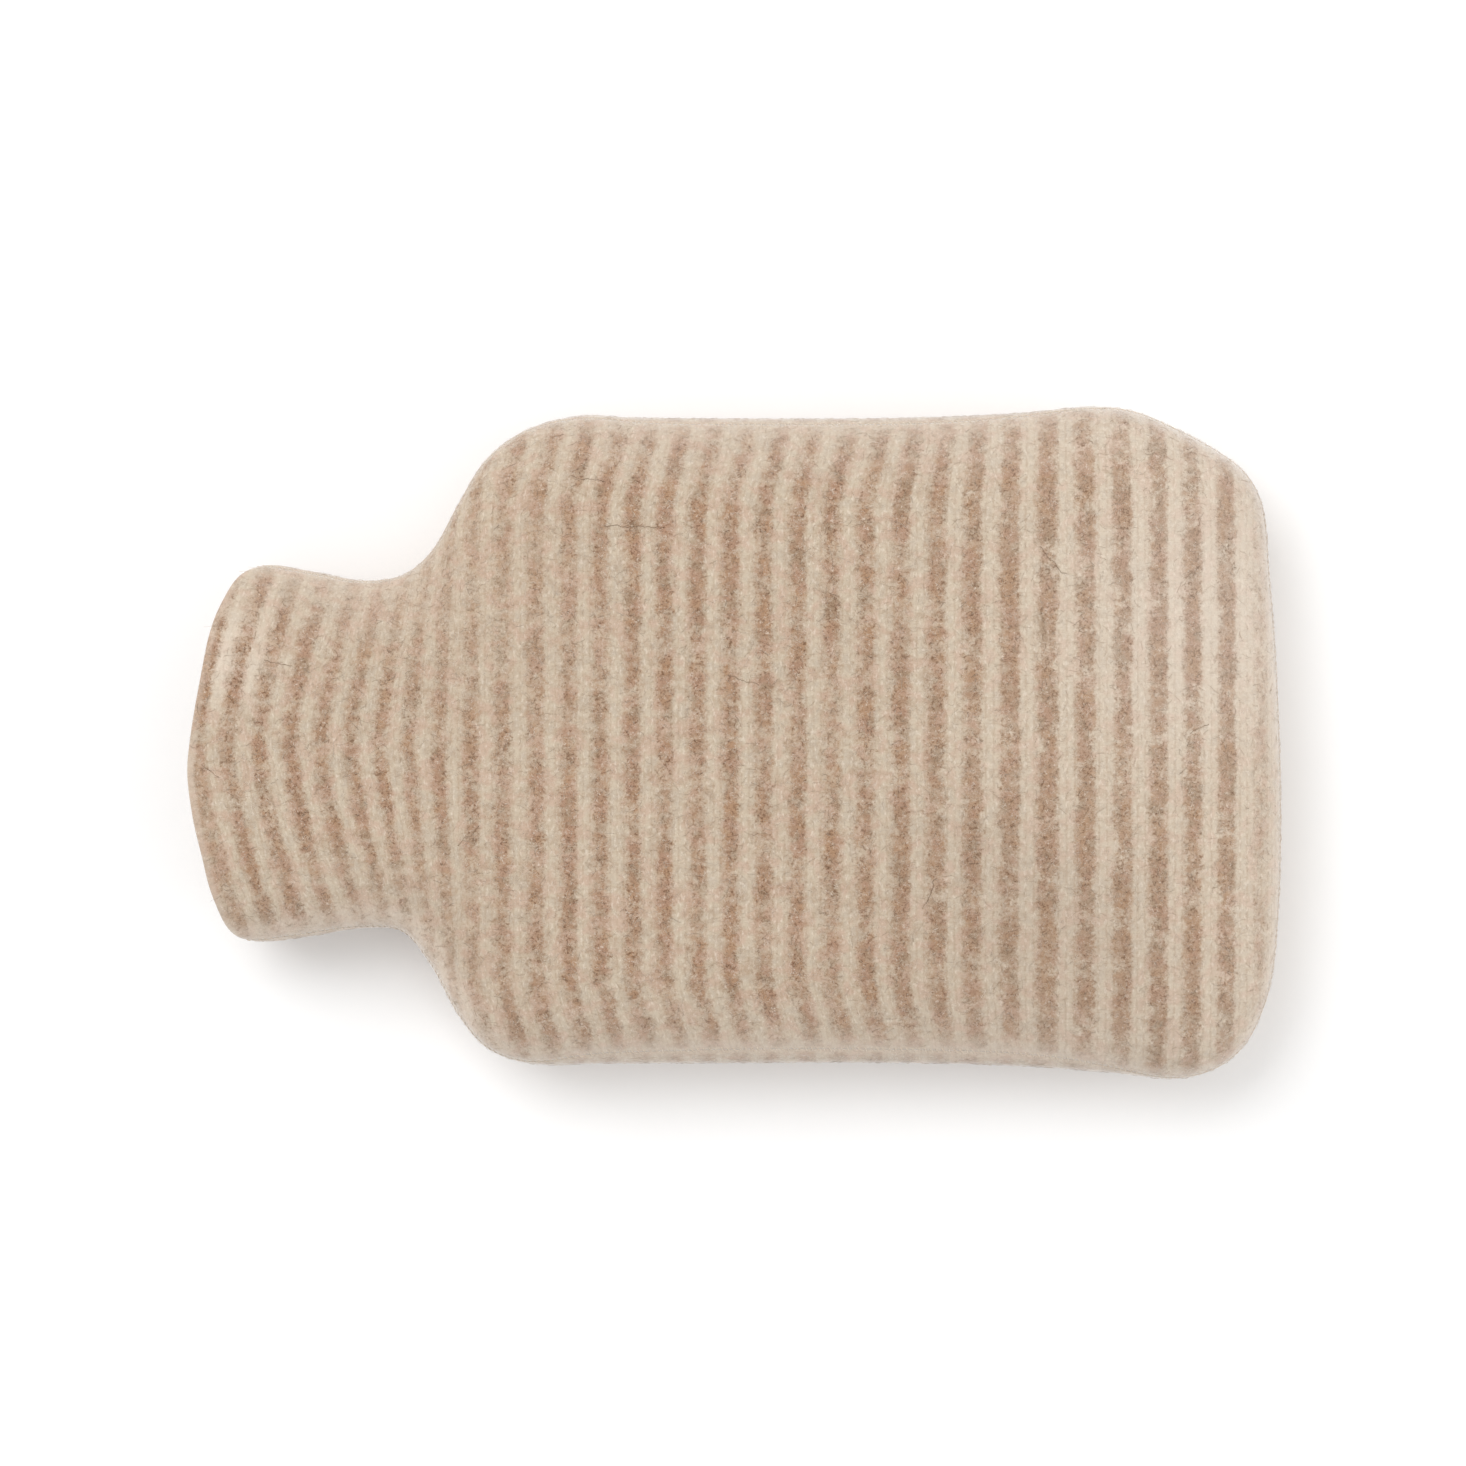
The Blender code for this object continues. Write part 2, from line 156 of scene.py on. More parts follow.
def unit(vectors):
    """Vectors of the same directions with a length of 1."""
    return vectors / np.maximum(np.linalg.norm(vectors, axis=-1, keepdims=True), 1e-12)


def table_value(rows, column, x):
    """Read one column of a table at x, along a smooth curve that never overshoots its rows."""
    places = np.array([row.x for row in rows])
    values = np.array([getattr(row, column) for row in rows])
    steps = np.diff(values)
    level = np.concatenate([[False], steps[:-1] * steps[1:] <= 0.0, [False]])
    slopes = np.where(level, 0.0, np.gradient(values, places))
    x = np.clip(x, places[0], places[-1])
    row = np.clip(np.searchsorted(places, x, side="right") - 1, 0, len(rows) - 2)
    span = places[row + 1] - places[row]
    t = (x - places[row]) / span
    return (values[row] * (1 + 2 * t) * (1 - t) ** 2
            + slopes[row] * span * t * (1 - t) ** 2
            + values[row + 1] * t ** 2 * (3 - 2 * t)
            + slopes[row + 1] * span * t ** 2 * (t - 1))


def curve_span(before, start, end, after):
    """One span of a centripetal Catmull-Rom curve, from start up to but not including end."""
    points = [before, start, end, after]
    knots = [0.0]
    for a, b in zip(points, points[1:]):
        knots.append(knots[-1] + np.linalg.norm(b - a) ** 0.5)
    t = (knots[1] + (knots[2] - knots[1]) * np.arange(CURVE_STEPS) / CURVE_STEPS)[:, None]

    def between(low, high, a, b):
        return a * (high - t) / (high - low) + b * (t - low) / (high - low)

    lines = [between(knots[k], knots[k + 1], points[k], points[k + 1]) for k in range(3)]
    bends = [between(knots[k], knots[k + 2], lines[k], lines[k + 1]) for k in range(2)]
    return between(knots[1], knots[2], *bends)


def outline_edges():
    """The lower side, base, upper side and mouth as smooth lines, each in its table's order."""
    points = np.array(LOWER_SIDE + BASE_EDGE + UPPER_SIDE[::-1] + MOUTH_EDGE)
    count = len(points)
    spans = [curve_span(points[i - 1], points[i], points[(i + 1) % count],
                        points[(i + 2) % count]) for i in range(count)]
    loop = np.concatenate(spans + [points[:1]])
    base_start = len(LOWER_SIDE) - 1
    base_end = base_start + len(BASE_EDGE) + 1
    mouth_start = base_end + len(UPPER_SIDE) - 1
    ends = [row * CURVE_STEPS for row in (0, base_start, base_end, mouth_start, count)]
    lower, base, upper, mouth = [loop[a:b + 1] for a, b in zip(ends, ends[1:])]
    return lower, base, upper[::-1], mouth


def crowded_shares(line, cells):
    """Places along a line, as point numbers, closer together where the line turns."""
    steps = np.diff(line, axis=0)
    lengths = np.linalg.norm(steps, axis=1)
    headings = np.unwrap(np.arctan2(steps[:, 1], steps[:, 0]))
    turns = np.abs(np.gradient(headings))
    weight = np.concatenate([[0.0], np.cumsum(lengths + TURN_LENGTH * turns)])
    return np.interp(np.linspace(0.0, weight[-1], cells + 1), weight, np.arange(len(line)))


def read_line(line, places):
    """Points of a line at fractional point numbers."""
    numbers = np.arange(len(line))
    return np.stack([np.interp(places, numbers, column) for column in line.T], axis=-1)


def evened(directions):
    """Directions along a line turned more evenly, with the first and the last kept."""
    for _ in range(EVENING_ROUNDS):
        middle = unit(directions[:-2] + 2.0 * directions[1:-1] + directions[2:])
        directions = np.concatenate([directions[:1], middle, directions[-1:]])
    return directions


def evenly_spaced(line, step):
    """A line's points again, at an even spacing near the given step."""
    lengths = np.linalg.norm(np.diff(line, axis=0), axis=1)
    place = np.concatenate([[0.0], np.cumsum(lengths)])
    even = np.linspace(0.0, place[-1], int(place[-1] / step) + 1)
    return read_line(line, np.interp(even, place, np.arange(len(line))))


class Outline:
    """The widest line in plan, as stations from the mouth round the base to the mouth."""

    def __init__(self):
        self.lower, base, self.upper, self.mouth = outline_edges()
        line = np.concatenate([self.lower, base[1:], self.upper[::-1][1:]])
        base_start = len(self.lower) - 1
        upper_start = base_start + len(base) - 1
        places = np.concatenate([
            crowded_shares(self.lower, SIDE_CELLS),
            base_start + crowded_shares(base, BASE_CELLS)[1:],
            upper_start + crowded_shares(self.upper[::-1], SIDE_CELLS)[1:],
        ])
        tangents = np.gradient(line, axis=0)
        normals = unit(np.stack([-tangents[:, 1], tangents[:, 0]], axis=-1))
        normals[0], normals[-1] = (0.0, 1.0), (0.0, -1.0)
        self.stations = read_line(line, places)
        self.inward = evened(read_line(normals, places))
        reach = np.array([-MOUTH_REACH, 0.0])
        whole = np.concatenate([line[:1] + reach, line, line[-1:] + reach])
        self.line = evenly_spaced(whole, LINE_STEP)
        self.seam_insets = self.insets()

    def insets(self):
        """Inset of the seam from the widest line at each station."""
        x = self.stations[:, 0]
        insets = np.full(len(x), SEAM_INSETS[-1].lower)
        insets[:SIDE_CELLS] = table_value(SEAM_INSETS, "lower", x[:SIDE_CELLS])
        insets[-SIDE_CELLS:] = table_value(SEAM_INSETS, "upper", x[-SIDE_CELLS:])
        return insets

    def inset(self, distances):
        """The stations moved into the cover by the given distances."""
        return self.stations + self.inward * distances[:, None]

    def distance(self, points, known=None):
        """Distance in plan from the widest line, with the corners between its sides blended.

        On a straight side it is the plain distance. In the band near the outline it starts
        from the known distance of each row.
        """
        start, end = self.line[:-1], self.line[1:]
        lengths = np.linalg.norm(end - start, axis=1)
        away = np.linalg.norm(points[..., None, :] - (start + end) / 2, axis=-1)
        pull = (lengths * away ** -CORNER_POWER).sum(-1) / STRAIGHT_PULL
        blended = pull ** (1.0 / (1.0 - CORNER_POWER))
        if known is None:
            return blended
        share = smooth_step(0.0, EDGE_BAND, known)
        return known * (1.0 - share) + blended * share

    def bowed(self, points):
        """Plan points of the neck drawn out towards the bowed edge of the mouth."""
        x, y = points[..., 0], points[..., 1]
        low = np.interp(x, self.lower[:, 0], self.lower[:, 1])
        high = np.interp(x, self.upper[:, 0], self.upper[:, 1])
        share = np.clip((y - low) / (high - low), 0.0, 1.0)
        first, last = self.mouth[-1], self.mouth[0]
        straight = first + share[..., None] * (last - first)
        mouth = self.mouth[::-1]
        edge_x = np.interp(straight[..., 1], np.maximum.accumulate(mouth[:, 1]), mouth[:, 0])
        fade = smooth_step(0.0, 1.0, (BOW_END - x) / (BOW_END - straight[..., 0]))
        shift = (edge_x + LIP_BULGE + MOUTH_BACK - straight[..., 0]) * fade
        return np.stack([x + shift, y], axis=-1)


def edge_rise(distance, width):
    """Share of the full height that the rounded edge has reached at a distance inside it."""
    rest = 1.0 - np.clip(distance / width, 0.0, 1.0)
    return (1.0 - rest ** EDGE_POWER) ** (1.0 / EDGE_POWER)


def swell_height(x, y):
    """The summed height of the soft swells and hollows of the upper face."""
    total = np.zeros_like(x)
    for swell in SWELLS:
        turn = np.radians(swell.turn)
        dx, dy = x - swell.x, y - swell.y
        lengthwise = (dx * np.cos(turn) + dy * np.sin(turn)) / swell.length
        crosswise = (dy * np.cos(turn) - dx * np.sin(turn)) / swell.width
        total += swell.rise * np.exp(-lengthwise ** 2 - crosswise ** 2)
    return total


def upper_height(x, y, distance):
    """Height of the outer face above the widest line."""
    rise = edge_rise(distance, table_value(HEIGHTS, "edge", x))
    full = table_value(HEIGHTS, "above", x) + swell_height(x, y)
    return table_value(HEIGHTS, "widest", x) + full * rise


def lower_height(x, y, distance):
    """Height of the outer face below the widest line, flat where it rests."""
    rise = edge_rise(distance, table_value(HEIGHTS, "edge", x))
    drop = table_value(HEIGHTS, "below", x) * rise
    return np.maximum(table_value(HEIGHTS, "widest", x) - drop, 0.0)


def raised(outline, plan, height, known=None):
    """Points in space for plan points, on the upper or the lower outer face."""
    distance = outline.distance(plan, known)
    plan = outline.bowed(plan)
    z = height(plan[..., 0], plan[..., 1], distance)
    return np.concatenate([plan, z[..., None]], axis=-1)


def inner_plan(ring):
    """A grid of plan points inside the band, between its sides, its base and the mouth."""
    low = ring[:SIDE_CELLS + 1][:, None]
    base = ring[SIDE_CELLS:SIDE_CELLS + BASE_CELLS + 1][None]
    high = ring[SIDE_CELLS + BASE_CELLS:][::-1][:, None]
    s = np.linspace(0.0, 1.0, SIDE_CELLS + 1)[:, None, None]
    v = np.linspace(0.0, 1.0, BASE_CELLS + 1)[None, :, None]
    across = low * (1 - v) + high * v
    return across + (base - across[-1:]) * s


def grid_border(numbers):
    """Point numbers on a grid's lower side, base and upper side, in the stations' order."""
    return np.concatenate([numbers[:, 0], numbers[-1, 1:], numbers[-2::-1, -1]])


def band_insets(start, end, cells, crowding=1.0):
    """Insets of the rows of a band at each station, closer together at the outline."""
    share = np.linspace(0.0, 1.0, cells + 1)[:, None] ** crowding
    return (np.sqrt(start) * (1 - share) + np.sqrt(end) * share) ** 2


def quads(numbers, outwards):
    """Four-sided faces between the rows and columns of a table of point numbers."""
    a, b, c, d = numbers[:-1, :-1], numbers[:-1, 1:], numbers[1:, 1:], numbers[1:, :-1]
    faces = np.stack([a, b, c, d], axis=-1).reshape(-1, 4)
    return faces if outwards else faces[:, ::-1]


def point_normals(points, faces):
    """Smooth outward normals at every point."""
    corners = points[faces]
    face_normals = np.cross(corners[:, 2] - corners[:, 0], corners[:, 3] - corners[:, 1])
    normals = np.zeros_like(points)
    for corner in range(4):
        np.add.at(normals, faces[:, corner], face_normals)
    return unit(normals)


class Skin:
    """The outer face of the whole cover, as points and the faces of both panels."""

    def __init__(self):
        self.outline = Outline()
        self.points = np.zeros((0, 3))
        seam_insets = self.outline.seam_insets
        none = np.zeros_like(seam_insets)
        full = np.full_like(seam_insets, EDGE_BAND)
        up = band_insets(seam_insets, full, BAND_CELLS, CROWDING)
        down = band_insets(none, full, BAND_CELLS)
        rise = band_insets(none, seam_insets, RISE_CELLS)

        top = self.add_grid(upper_height)
        rows = [self.add_row(inset, upper_height) for inset in up[:-1]]
        front = np.array(rows + [grid_border(top)])
        bottom = self.add_grid(lower_height)
        rows = [self.add_row(inset, lower_height) for inset in down[:-1]]
        between = [self.add_row(inset, upper_height) for inset in rise[-2:0:-1]]
        back = np.array([front[0]] + between + rows + [grid_border(bottom)])
        self.grids = {"front": top, "back": bottom}
        self.bands = {"front": front, "back": back}
        self.faces = {
            "front": np.concatenate([quads(top, False), quads(front, True)]),
            "back": np.concatenate([quads(bottom, True), quads(back, False)]),
        }
        self.normals = point_normals(
            self.points, np.concatenate([self.faces["front"], self.faces["back"]]))

    def add(self, points):
        """Store points and return their numbers."""
        numbers = len(self.points) + np.arange(points[..., 0].size)
        self.points = np.concatenate([self.points, points.reshape(-1, 3)])
        return numbers.reshape(points.shape[:-1])

    def add_row(self, insets, height):
        """Add one row of points that follows the outline."""
        return self.add(raised(self.outline, self.outline.inset(insets), height, insets))

    def add_grid(self, height):
        """Add the grid of points inside the band."""
        ring = self.outline.inset(np.full(len(self.outline.stations), EDGE_BAND))
        return self.add(raised(self.outline, inner_plan(ring), height))

    def seam_distances(self, band):
        """Distance of every point from the seam along the cloth, within one panel's band."""
        steps = np.linalg.norm(np.diff(self.points[band], axis=0), axis=-1)
        result = np.full(len(self.points), FAR)
        result[band[1:]] = np.cumsum(steps, axis=0)
        result[band[0]] = 0.0
        return result

    def drawn_back(self, band):
        """The points with the seam row drawn back a little into one panel, for the gap."""
        points = self.points.copy()
        seam = points[band[0]]
        along = unit(np.gradient(seam, axis=0))
        pull = points[band[1]] - seam
        pull -= along * (pull * along).sum(-1, keepdims=True)
        points[band[0]] = seam + unit(pull) * (SEAM_GAP / 2)
        return points


def stripe_shift(x, y):
    """How far the stripes lie towards the base at a place, from their line at the middle."""
    neck = 1.0 - smooth_step(*NECK_BOW_ENDS, x)
    bow = NECK_BOW * (np.abs(y) / NECK_HALF) ** NECK_BOW_POWER * neck
    lean = SIDE_LEAN * smooth_step(*SIDE_LEAN_ENDS, np.abs(y)) * (1.0 - neck)
    return bow + lean * (1.0 - smooth_step(*SIDE_LEAN_FADE, x))


def course_numbers(x, y, slip):
    """The number of the stripe at a place, counted from the mouth, with parts of a stripe."""
    straight = x - stripe_shift(x, y) + slip
    inside = table_value(STRIPES, "number", straight)
    first, last = STRIPES[0], STRIPES[-1]
    past = np.maximum(straight - last.x, 0.0) + np.minimum(straight - first.x, 0.0)
    return inside + past / PITCH


def new_mesh(name, points, edges=(), faces=()):
    """A mesh of points given in millimetres."""
    mesh = bpy.data.meshes.new(name)
    mesh.from_pydata((points * MM).tolist(), edges, faces)
    return mesh


def store_attribute(mesh, name, kind, values, domain="POINT"):
    """Store a value, or three for a vector, for each point or face of a mesh."""
    layer = mesh.attributes.new(name, kind, domain)
    layer.data.foreach_set("vector" if kind == "FLOAT_VECTOR" else "value", np.ravel(values))


def add_object(name, data):
    """A new object in the scene."""
    item = bpy.data.objects.new(name, data)
    bpy.context.scene.collection.objects.link(item)
    return item


class Panel:
    """One panel as a closed wall of cloth, with a rounded lip at the mouth."""

    def __init__(self, skin, name, side, slip, shorter):
        band, grid = skin.bands[side], skin.grids[side]
        self.name = name
        self.faces = skin.faces[side]
        self.slip = slip
        self.seam = skin.seam_distances(band)
        sink = GROOVE_DEPTH * np.exp(-(self.seam / GROOVE_WIDTH) ** 2)
        self.outer = skin.drawn_back(band) - skin.normals * sink[:, None]
        self.inner = skin.points - WALL * skin.normals
        drawn_in = shorter * smooth_step(0.0, CORNER_FADE, self.seam)
        for wall in (self.outer, self.inner):
            wall[:, 0] += drawn_in * (1.0 - smooth_step(*MOUTH_FADE, wall[:, 0]))
        self.flat = self.laid_flat(band, -skin.outline.inward)
        self.mouth = np.concatenate([band[:-1, 0], grid[0, :], band[-2::-1, -1]])
        self.next_in = np.concatenate([band[:-1, 1], grid[1, :], band[-2::-1, -2]])

    def laid_flat(self, band, outwards):
        """Plan places with the rounded edge unrolled, so that a pattern isn't stretched there."""
        flat = self.outer[:, :2].copy()
        reach = self.seam[band[-1]] - self.seam[band]
        flat[band] = flat[band[-1]] + outwards * reach[..., None]
        x = self.outer[:, 0]
        flat[:, 0] = x + (flat[:, 0] - x) * smooth_step(*BASE_WRAP, x)
        return flat

    def added(self, material):
        """The panel as an object, with its stripes' numbers and its distances stored."""
        used = np.unique(self.faces)
        count = len(used)
        renumber = np.zeros(len(self.outer), int)
        renumber[used] = np.arange(count)
        outside = renumber[self.faces]
        inside = outside[:, ::-1] + count
        lips, lip_points, lip_source = self.lips(renumber, count)
        points = np.concatenate([self.outer[used], self.inner[used], lip_points])
        faces = outside.tolist() + inside.tolist() + self.rims(outside, count, lips)
        mesh = new_mesh(self.name, points, [], faces)
        mesh.shade_smooth()
        self.store(mesh, np.concatenate([used, used, lip_source]), len(outside))
        mesh.validate()
        mesh.materials.append(material)
        return add_object(self.name, mesh)

    def lips(self, renumber, count):
        """Chains of point numbers round the lip at each mouth point, and their new points."""
        top, low = self.outer[self.mouth], self.inner[self.mouth]
        ahead = unit(top - self.outer[self.next_in])
        angles = np.pi * np.arange(1, LIP_CELLS) / LIP_CELLS
        cos, sin = np.cos(angles)[None, :, None], np.sin(angles)[None, :, None]
        middle, half = (top + low) / 2, (top - low) / 2
        points = middle[:, None] + half[:, None] * cos + ahead[:, None] * LIP_BULGE * sin
        numbers = 2 * count + np.arange(points[..., 0].size).reshape(points.shape[:2])
        chains = {}
        for row, k in zip(numbers.tolist(), renumber[self.mouth].tolist()):
            chains[k] = [k] + row + [k + count]
        return chains, points.reshape(-1, 3), np.repeat(self.mouth, LIP_CELLS - 1)

    def rims(self, outside, count, lips):
        """Faces between the outer and the inner skin, along the seam and round the mouth."""
        sides = set()
        for face in outside.tolist():
            sides.update(zip(face, face[1:] + face[:1]))
        faces = []
        for a, b in sorted(sides):
            if (b, a) in sides:
                continue
            if a in lips and b in lips:
                for k in range(LIP_CELLS):
                    faces.append([lips[b][k], lips[a][k], lips[a][k + 1], lips[b][k + 1]])
                continue
            faces.append([b, a, a + count, b + count])
            if b in lips:
                faces.append([lips[b][0]] + lips[b][:0:-1])
            if a in lips:
                faces.append(lips[a])
        return faces

    def store(self, mesh, source, outside_count):
        """Store the stripes' numbers, the distances and where the cloth has loose fibres."""
        numbers = course_numbers(self.flat[:, 0], self.outer[:, 1], self.slip)
        courses = np.stack([numbers, self.flat[:, 1] / PITCH], axis=-1)[source]
        loops = np.zeros(len(mesh.loops), int)
        mesh.loops.foreach_get("vertex_index", loops)
        mesh.uv_layers.new(name="courses").data.foreach_set("uv", courses[loops].ravel())
        store_attribute(mesh, "seam_distance", "FLOAT", self.seam[source])
        near = np.where(self.outer[source, 0] < MOUTH_FADE[1])[0]
        reach = self.outer[source[near]][:, None] - self.outer[self.mouth]
        away = np.full(len(source), FAR)
        away[near] = np.linalg.norm(reach, axis=-1).min(1)
        store_attribute(mesh, "mouth_distance", "FLOAT", away)
        centres = np.zeros(3 * len(mesh.polygons))
        mesh.polygons.foreach_get("center", centres)
        fluffy = centres[2::3] > PRESSED * MM
        fluffy[outside_count:] = False
        fluffy[:outside_count] &= self.seam[self.faces].min(1) > GROOVE_WIDTH
        store_attribute(mesh, "fluffy", "BOOLEAN", fluffy, "FACE")


# ---- Node trees: materials, and what grows on the cloth ----

def operator(operation, swapped=False):
    """A method of Term that does its maths with a node."""
    def method(self, *others):
        values = (*others, self) if swapped else (self, *others)
        return self.nodes.maths(operation, *values)
    return method


class Term:
    """What a node gives out: a number, vector, colour or geometry. Numbers take operators."""

    __add__ = __radd__ = operator("ADD")
    __mul__ = __rmul__ = operator("MULTIPLY")
    __sub__ = operator("SUBTRACT")
    __rsub__ = operator("SUBTRACT", swapped=True)
    __truediv__ = operator("DIVIDE")
    __abs__ = operator("ABSOLUTE")
    least = operator("MINIMUM")
    most = operator("MAXIMUM")
    part = operator("FRACT")     # the part after the decimal point

    def __init__(self, nodes, socket):
        self.nodes = nodes
        self.socket = socket

    def also(self, output):
        """Another output of the same node."""
        return Term(self.nodes, self.socket.node.outputs[output])

    def rises(self, low, high):
        """0 up to low, 1 from high and a smooth rise between."""
        return self.nodes.node("ShaderNodeMapRange", {"interpolation_type": "SMOOTHSTEP"},
                               {"Value": self, "From Min": low, "From Max": high})

    def falls(self, low, high):
        """1 up to low, 0 from high and a smooth fall between."""
        return 1.0 - self.rises(low, high)


class Nodes:
    """A node tree whose nodes are made one call at a time."""

    def __init__(self, tree):
        self.tree = tree

    def feed(self, socket, value):
        """Link a socket to a term, or set it to a plain value."""
        if isinstance(value, Term):
            self.tree.links.new(value.socket, socket)
        else:
            socket.default_value = value

    def node(self, kind, settings, inputs, output=0):
        """Add a node of a type with its settings and its sockets' values or links."""
        node = self.tree.nodes.new(kind)
        for name, value in settings.items():
            setattr(node, name, value)
        for name, value in inputs.items():
            self.feed(node.inputs[name], value)
        return Term(self, node.outputs[output])

    def maths(self, operation, *values):
        return self.node("ShaderNodeMath", {"operation": operation}, dict(enumerate(values)))

    def vector(self, operation, *values, output="Vector"):
        return self.node("ShaderNodeVectorMath", {"operation": operation},
                         dict(enumerate(values)), output)

    def scaled(self, vector, factor):
        return self.node("ShaderNodeVectorMath", {"operation": "SCALE"},
                         {0: vector, "Scale": factor})

    def join(self, x=0.0, y=0.0, z=0.0):
        return self.node("ShaderNodeCombineXYZ", {}, {"X": x, "Y": y, "Z": z})


# ---- Materials ----

def linear(red, green, blue):
    """A colour given as screen values from 0 to 255, as the shader needs it."""
    def one(value):
        value /= 255.0
        return value / 12.92 if value <= 0.04045 else ((value + 0.055) / 1.055) ** 2.4
    return (one(red), one(green), one(blue), 1.0)


CREAM = linear(201, 186, 165)
CREAM_WARM = linear(199, 175, 155)
CREAM_COOL = linear(192, 178, 160)
CREAM_DEEP = linear(179, 158, 135)
CAMEL = linear(168, 137, 113)
CAMEL_OCHRE = linear(174, 139, 110)
CAMEL_ROSY = linear(172, 138, 116)
CAMEL_GREY = linear(159, 135, 112)
CAMEL_DARK = linear(106, 79, 57)
PALE_FIBRE = linear(230, 216, 200)
EDGE_HIGHLIGHT = linear(218, 208, 199)   # painted highlight along the seam and the edges
WHITE = (1.0, 1.0, 1.0, 1.0)

STITCH_COLUMNS = 4.7  # columns of stitches in one cream and camel stripe
CURL_SIZE = 1.5       # how tightly the curled fibres lie, in millimetres
CURL_TWIST = 2.2      # how strongly their lines are bent
FELTED = {"Roughness": 0.95, "Sheen_Weight": 1.0, "Sheen_Roughness": 0.35,
          "Specular_IOR_Level": 0.1}

# Spots where the cloth looks different: the middle, the reach and the strength at the middle.
Spot = namedtuple("Spot", "x y radius strength")
WORN_SHOULDER = Spot(-92.0, 52.0, 70.0, 0.56)
WORN_HOLLOW = Spot(-97.0, -56.0, 45.0, 0.54)
# Painted highlight: a bright streak on the cream of the upper neck near the mouth.
MOUTH_HIGHLIGHT = Spot(-161.0, 27.0, 26.0, 0.55)
# Painted light: the upper right corner towards the base is made paler.
PAINTED_LIGHT_CORNER = Spot(158.0, 42.0, 72.0, 1.0)
# Painted shade: the corner where the cloth falls away is darkened.
SHADED_CORNER = Spot(94.0, -68.0, 80.0, 0.15)
# Painted shade: the painted highlight along the seam is held back on the upper shoulder.
SHOULDER_SHADE = Spot(-80.0, 75.0, 50.0, 1.0)


class Finish(Nodes):
    """A material with the principled surface shader and with places in millimetres."""

    def __init__(self, name):
        self.material = bpy.data.materials.new(name)
        self.material.use_nodes = True
        super().__init__(self.material.node_tree)
        coordinates = self.node("ShaderNodeTexCoord", {}, {}, output="Object")
        self.places = self.scaled(coordinates, 1.0 / MM)

    def mix(self, factor, first, second):
        """Two colours mixed: the first at factor 0 and the second at factor 1."""
        return self.node("ShaderNodeMix", {"data_type": "RGBA"},
                         {"Factor": factor, 6: first, 7: second}, output=2)

    def layers(self, colour, *others):
        """A colour with others laid over it in turn, each given after its share."""
        for share, other in others:
            colour = self.mix(share, colour, other)
        return colour

    def noise(self, size, detail=2.0, roughness=0.5, distortion=0.0, shift=None, at=None):
        """Cloudy noise round 0.5 whose patches are about size across."""
        places = at or self.places
        if shift:
            places = self.vector("ADD", places, shift)
        return self.node("ShaderNodeTexNoise", {}, {
            "Vector": places, "Scale": 1.0 / size, "Detail": detail,
            "Roughness": roughness, "Distortion": distortion})

    def curls(self, width, shift=None):
        """Thin curved lines like loose fibres: 1 along them and 0 away from them."""
        cloud = self.noise(CURL_SIZE, 1.0, 0.5, CURL_TWIST, shift)
        return abs(cloud - 0.5).falls(0.0, width)

    def spot(self, spot):
        """The strength of a spot, which falls to 0 at its radius."""
        plan = self.vector("MULTIPLY", self.places, (1.0, 1.0, 0.0))
        away = self.vector("DISTANCE", plan, (spot.x, spot.y, 0.0), output="Value")
        return away.falls(0.0, spot.radius) * spot.strength

    def attribute(self, name, output="Fac"):
        return self.node("ShaderNodeAttribute", {"attribute_name": name}, {}, output)

    def first_part(self, vector):
        """The first part of a vector; its also() gives the others."""
        return self.node("ShaderNodeSeparateXYZ", {}, {0: vector})

    def bump(self, height, distance, strength):
        return self.node("ShaderNodeBump", {}, {
            "Height": height, "Distance": distance, "Strength": strength}, output="Normal")

    def done(self, **values):
        """Set or link sockets of the surface shader; underscores stand for spaces."""
        shader = self.tree.nodes["Principled BSDF"]
        for name, value in values.items():
            self.feed(shader.inputs[name.replace("_", " ")], value)
        return self.material


def camel_share(finish, course, raggedness):
    """How much camel yarn shows: 1 in the middle of a camel stripe and 0 between stripes."""
    phase = (course + 0.5).part() - 0.5
    ragged = (finish.noise(1.6, 2.0, 0.65, 1.2) - 0.5) * (0.38 * raggedness)
    waver = (finish.noise(5.0, 1.0) - 0.5) * (0.18 * raggedness)
    neck = course.falls(6.0, 10.0)
    phase = phase + ragged + waver - neck * 0.03
    before = phase.rises(-0.50, -0.30) * 0.22 + phase.rises(-0.38, -0.03) * 0.78
    before = before.most(course.falls(-0.30, 0.0))
    after = phase.falls(0.07, 0.39)
    faint = 1.0 - course.rises(31.3, 31.7) * 0.60
    return before * after * faint * course.falls(LAST_STRIPE, LAST_STRIPE + 0.15)


def mottled_yarns(finish, blotches):
    """The camel yarn wanders between ochre, rosy and greyish, and the cream from warm to cool."""
    hue = finish.noise(6.0, 1.0, 0.5, 0.5)
    other = finish.noise(5.0, 1.0, shift=(57.0, 23.0, 9.0))
    camel_yarn = finish.layers(
        CAMEL,
        (hue.rises(0.48, 0.66) * 0.7, CAMEL_OCHRE),
        (hue.falls(0.32, 0.48) * 0.8, CAMEL_GREY),
        (other.rises(0.50, 0.66) * 0.8, CAMEL_ROSY))
    cream_yarn = finish.layers(
        CREAM,
        (other.rises(0.46, 0.66), CREAM_WARM),
        (other.falls(0.32, 0.46) * 0.7, CREAM_COOL),
        (blotches.rises(0.46, 0.74) * 0.55, CREAM_DEEP))
    return camel_yarn, cream_yarn


